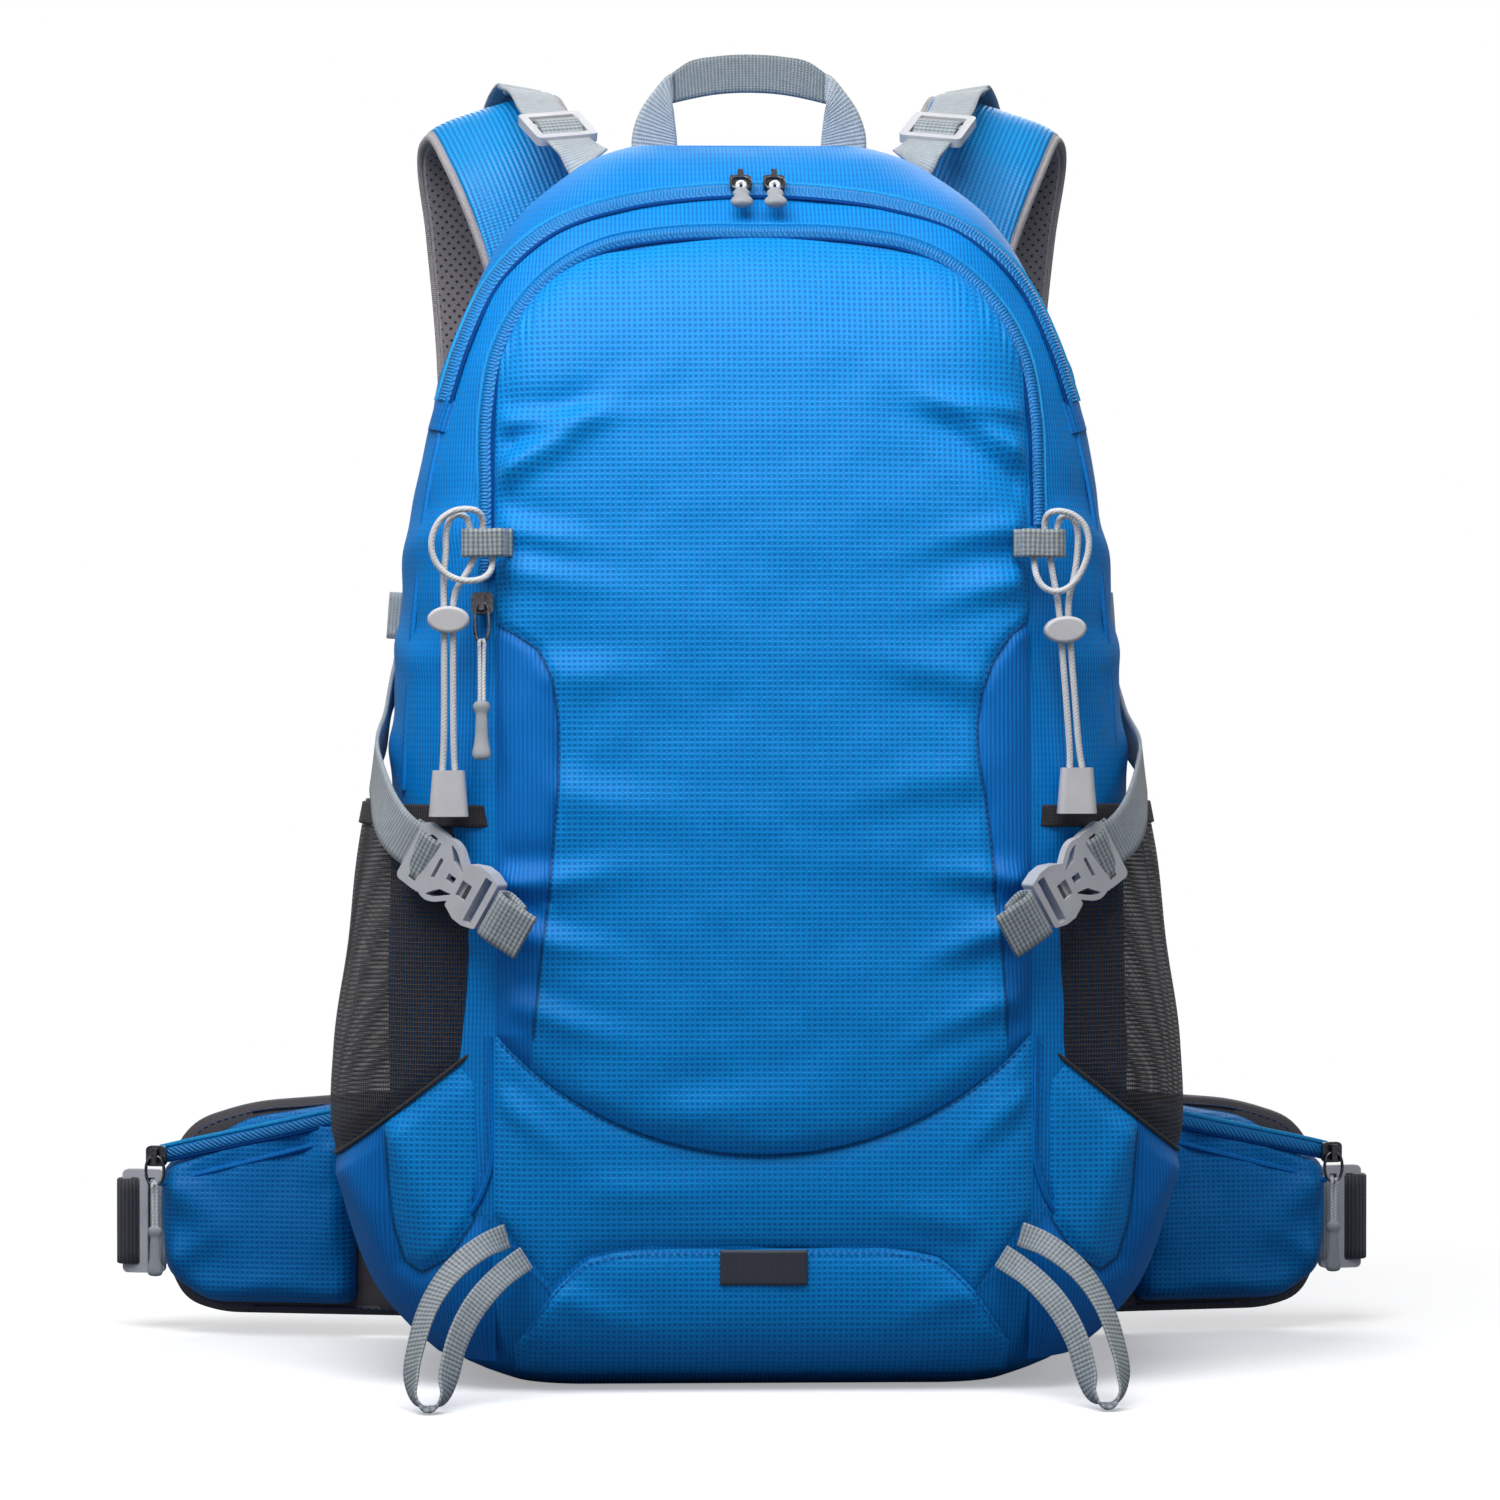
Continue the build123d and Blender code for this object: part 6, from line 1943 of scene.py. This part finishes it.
def pillow(name, outline, centre, put, front, back, turn_in, finish, body, swell=None, attributes=()):
    """A padded panel over an outline in X and Z, with rounded edges in front and behind, in mm."""
    outline, centre = np.asarray(outline), np.asarray(centre, dtype=float)
    away = outline - centre
    far = np.linalg.norm(away, axis=1)
    insets = [0, 0.6, 1.4, 2.6, 4.2, 6.4, 9.5, 13.5, 18.5, 24.5, 31, 38, 45, 52, 59, 66]
    rings, count = [], len(outline)
    longest = far.max()
    insets = [inset for inset in insets if inset < 0.92 * longest]
    for side in (-1, 1):
        for inset in insets if side < 0 else insets[1:-1]:
            share = np.clip(1 - inset / longest, 0.04, 1)
            share = np.full(count, share) if inset > 6 else np.clip(1 - inset / far, 0.04, 1)
            flat = centre + away * share[:, None]
            edge = (1 - share) * far
            depth = np.sqrt(np.clip(1 - (1 - np.clip(edge / turn_in, 0, 1)) ** 2, 0, 1))
            if side < 0:
                off = -front * depth
                if swell is not None:
                    off = off - swell(flat[:, 0], flat[:, 1], edge)
            else:
                off = back * depth
            rings.append((side, inset, np.column_stack([flat[:, 0], off, flat[:, 1]])))
    front_rings = [r for side, _, r in rings if side < 0]
    back_rings = [r for side, _, r in rings if side > 0]
    ordered = back_rings[::-1] + front_rings
    spots = np.concatenate(ordered)
    rows = len(ordered)
    faces = grid_faces(rows, count, closed=True)
    for ring, flipped in ((0, True), (rows - 1, False)):
        middle = len(spots)
        spots = np.vstack([spots, ordered[ring].mean(axis=0)])
        base = ring * count
        for k in range(count):
            n = (k + 1) % count
            faces.append((base + n, base + k, middle) if flipped else (base + k, base + n, middle))
    piece = mesh_piece(name, placed(put(spots)), faces, finish, spots[:, [0, 2]])
    mark_points(piece, attributes, spots[:, 0], spots[:, 2])
    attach(piece, body)
    return piece


wing_cloth = ribbed_cloth(
    "dark_smooth_belt_cloth", "#5F5C60", "#4B484C", rib=1.0, cross=1.2, rough=0.6, depth=0.08
)
pouch_cloth = waffle_ripstop("pouch_ripstop_nylon", "#0080D0", "#0058A8", "#0080D0", "#0058A8")
wing_middle = np.array([68, 56])
stitch_share = 0.93  # the stitches lie this far out from the wing's middle to its edge
wing_outline = rounded_outline(
    [(-4, 9), (113, 9), (130, 14), (139, 32), (139, 74), (127, 94), (99, 103), (-4, 112)], 12
)
pouch_outline = rounded_outline(
    [(50, 14.5), (117, 14.5), (136, 27), (138.6, 52), (138.0, 75), (99, 96.5), (50, 104.5)], 7
)


def pouch_swell(x, z, edge):
    folds = (
        crease(x, z, (136, 70), (92, 30), 8.0, 4.6)
        + crease(x, z, (130, 34), (100, 52), 7.0, 2.4)
        + crease(x, z, (60, 84), (78, 36), 9.0, 3.6)
        + crease(x, z, (56, 60), (70, 20), 8.0, 3.0)
        + crease(x, z, (100, 18), (66, 30), 6.0, 1.8)
    )
    soft = 1.6 * waves(x, z, x * 0, 34, 51.0)
    zip_sink = -2.2 * np.exp(
        -(((z - (97 - (x - 60) * 0.2207) - 1.0) / 2.2) ** 2)
    ) - 1.4 * np.exp(-(((z - (88 - (x - 60) * 0.26)) / 1.8) ** 2))
    return (folds + soft + 1.2 + zip_sink) * np.clip(edge / 9, 0, 1)


for side_name, s in both_sides:
    put, way = wing_put(s)
    body = f"{side_name}_wing"
    wing = pillow(
        f"{side_name}_belt_wing", wing_outline, wing_middle, put, 5.9, 5.9, 7.0, wing_cloth, body,
    )
    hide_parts(f"{side_name}_hipbelt_wing")
    stitch = wing_middle + (wing_outline - wing_middle) * stitch_share
    stitch3 = np.column_stack([stitch[:, 0], np.full(len(stitch), -5.95), stitch[:, 1]])
    outs3 = np.tile(way([(0, -1, 0)]), (len(stitch3), 1))
    belt_thread = sewing_thread(f"{side_name}_belt_thread", "#39373B")
    made = stitch_run(
        f"{side_name}_wing_stitches_0", placed(put(stitch3[3:])), outs3[3:], belt_thread, pitch=3.4
    )
    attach(made, body)
    pouch = pillow(
        f"{side_name}_belt_pouch", pouch_outline, (94, 58),
        lambda spots: put(np.asarray(spots) + np.array([0, -6.4, 0])), 11.4, 0.0, 9.0, pouch_cloth, body,
        pouch_swell, no_ears
    )
    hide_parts(f"{side_name}_hipbelt_pouch")

    # the covered zip: two welts with a shaded gap between them, out to the slider
    def on_face(points, stand):
        spots = np.array([(x, -18.0 - stand, z) for x, z in points])
        return put(spots), np.tile(way([(0, -1, 0)]), (len(points), 1))

    zip_path = [(52, 98.6), (60, 97.0), (85, 91.4), (110, 86.0), (130, 81.6), (136.5, 80.0)]
    spots, outs = on_face(zip_path, 0.2)
    piping(f"{side_name}_hip_zip_tape", spots, 2.6, coil_tape, body, outs=outs, flat=0.35)
    for k, (rise, finish, size, stand) in enumerate(
        ((3.6, highlight_piping, 1.0, 0.0), (-3.2, seam_gap, 0.8, 0.0), (-9.5, welt_cloth, 1.2, -0.3))
    ):
        spots, outs = on_face(
            [(x, z + rise - (0.04 * (x - 52) if k == 2 else 0)) for x, z in zip_path], stand
        )
        piping(f"{side_name}_hip_zip_line_{k}", spots, size, finish, body, outs=outs, flat=0.8)

    # belt webbing: light face in front of the adjuster, dark tail folded behind the wing
    fold = put(
        [
            (143, 4.2, 49), (148, 1.4, 49), (152, -2.2, 49), (156.6, -4.0, 49), (160.0, -2.2, 49),
            (160.7, 0.8, 49), (159.4, 4.6, 49), (155, 7.4, 49), (146, 8.5, 49), (110, 8.6, 49), (80, 8.5, 49),
            (56.5, 8.5, 49)
        ]
    )
    fold_out = way(
        [
            (-0.5, -1, 0), (-0.5, -1, 0), (-0.5, -1, 0), (0.1, -1, 0), (0.8, -0.6, 0), (1, 0.1, 0),
            (0.8, 0.7, 0), (0.3, 1, 0), (0, 1, 0), (0, 1, 0), (0, 1, 0), (0, 1, 0)
        ]
    )
    web = band(
        f"{side_name}_belt_webbing", fold, fold_out, 38.0, 1.5, dark_webbing, body, step=1.2
    )
    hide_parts(f"{side_name}_hip_webbing")
    anchor_web = put(
        [
            (134.0, -1.8, 49), (139.0, -2.4, 49), (142.2, -3.4, 49), (144.4, -2.6, 49), (145.2, 0.2, 49),
            (143.6, 2.8, 49), (139.5, 2.2, 49), (134.0, 1.6, 49)
        ]
    )
    anchor_out = way(
        [
            (0, -1, 0), (-0.2, -1, 0), (0, -1, 0), (0.7, -0.7, 0), (1, 0, 0), (0.6, 0.8, 0), (0, 1, 0),
            (0, 1, 0)
        ]
    )
    band(
        f"{side_name}_belt_anchor", anchor_web, anchor_out, 37.6, 1.4, light_webbing, body,
        step=0.9
    )

# ---- Back panel ----
# Foam pads under perforated mesh up the back, and the lumbar pad below them.
def back_put(spots):
    spots = np.asarray(spots, dtype=float)
    _, _, far, _ = bag_at(np.clip(spots[:, 2], 1, 510) * MM)
    return np.column_stack([spots[:, 0], far / MM + 0.6 - spots[:, 1], spots[:, 2]])


def mirrored_put(s, put):
    def made(spots):
        return put(spots) * np.array([s, 1, 1])

    return made


def pad_swell(x, z, edge):
    channel = -2.6 * np.exp(-(((z - 20) % 58 - 29) / 3.2) ** 2)
    return channel * np.clip(edge / 8, 0, 1)


upright_outline = rounded_outline([(13, 145), (95, 145), (95, 435), (13, 435)], 20, 4.0)
for side_name, s in both_sides:
    pad = pillow(
        f"{side_name}_back_pad", upright_outline, (54, 290), mirrored_put(s, back_put), 9.4, 0.0, 9.0,
        spacer_mesh, "pack", pad_swell
    )
    if s < 0:
        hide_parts("back_pads")
lumbar_outline = rounded_outline([(-114, 16.5), (114, 16.5), (114, 116.5), (-114, 116.5)], 14, 4.0)
lumbar = pillow(
    "lumbar_pad", lumbar_outline, (0, 66.5), back_put, 9.4, 0.0, 9.0, spacer_mesh, "pack"
)

# ---- Inside the back panel ----
# The stiffener, its stay, the hydration sleeve and the folded rain cover lie inside the shell.
def solid_cloth(name, colour, deep_colour, rough, pitch):
    """Plain woven cloth for hidden pieces, with its weave taken from the piece's own place."""
    made, tree, output = new_material(name)
    where = add(tree, "ShaderNodeTexCoord")
    rows = bands(tree, where.outputs["Object"], pitch * MM, "Z", {"Distortion": 0.3})
    picks = bands(tree, where.outputs["Object"], pitch * MM, "X", {"Distortion": 0.3})
    weave = add(
        tree, "ShaderNodeMath", {0: rows.outputs["Fac"], 1: picks.outputs["Fac"]}, operation="MULTIPLY"
    )
    tone = tinted(tree, weave.outputs[0], linear(deep_colour), linear(colour))
    relief = bump(tree, 0.5, 0.1 * MM, weave.outputs[0])
    coat(tree, output, {"Base Color": tone.outputs[2], "Roughness": rough, "Normal": relief.outputs[0]})
    return made


finish_nodes(solid_cloth("grey_lining_cloth", "#8C9197", "#71767C", 0.7, 0.9), "hydration_sleeve")
finish_nodes(solid_cloth("coated_rain_cover_cloth", "#E8B83A", "#C99622", 0.35, 0.8), "rain_cover")
finish_nodes(moulded_plastic("black_polythene_board", "#2B2C2F", "#202124", rough=0.5), "frame_sheet")
stay_alloy, tree, output = new_material("brushed_stay_alloy")
where = add(tree, "ShaderNodeTexCoord")
brushed = add(
    tree, "ShaderNodeTexNoise",
    {
        "Vector": add(
            tree, "ShaderNodeMapping", {"Vector": where.outputs["Object"], "Scale": (2400, 2400, 60)}
        ).outputs[0],
        "Scale": 1.0, "Detail": 3.0
    }
)
tone = tinted(tree, brushed.outputs["Fac"], linear("#9DA1A6"), linear("#C4C8CC"))
coat(tree, output, {"Base Color": tone.outputs[2], "Metallic": 1.0, "Roughness": 0.34})
finish_nodes(stay_alloy, "frame_stay")
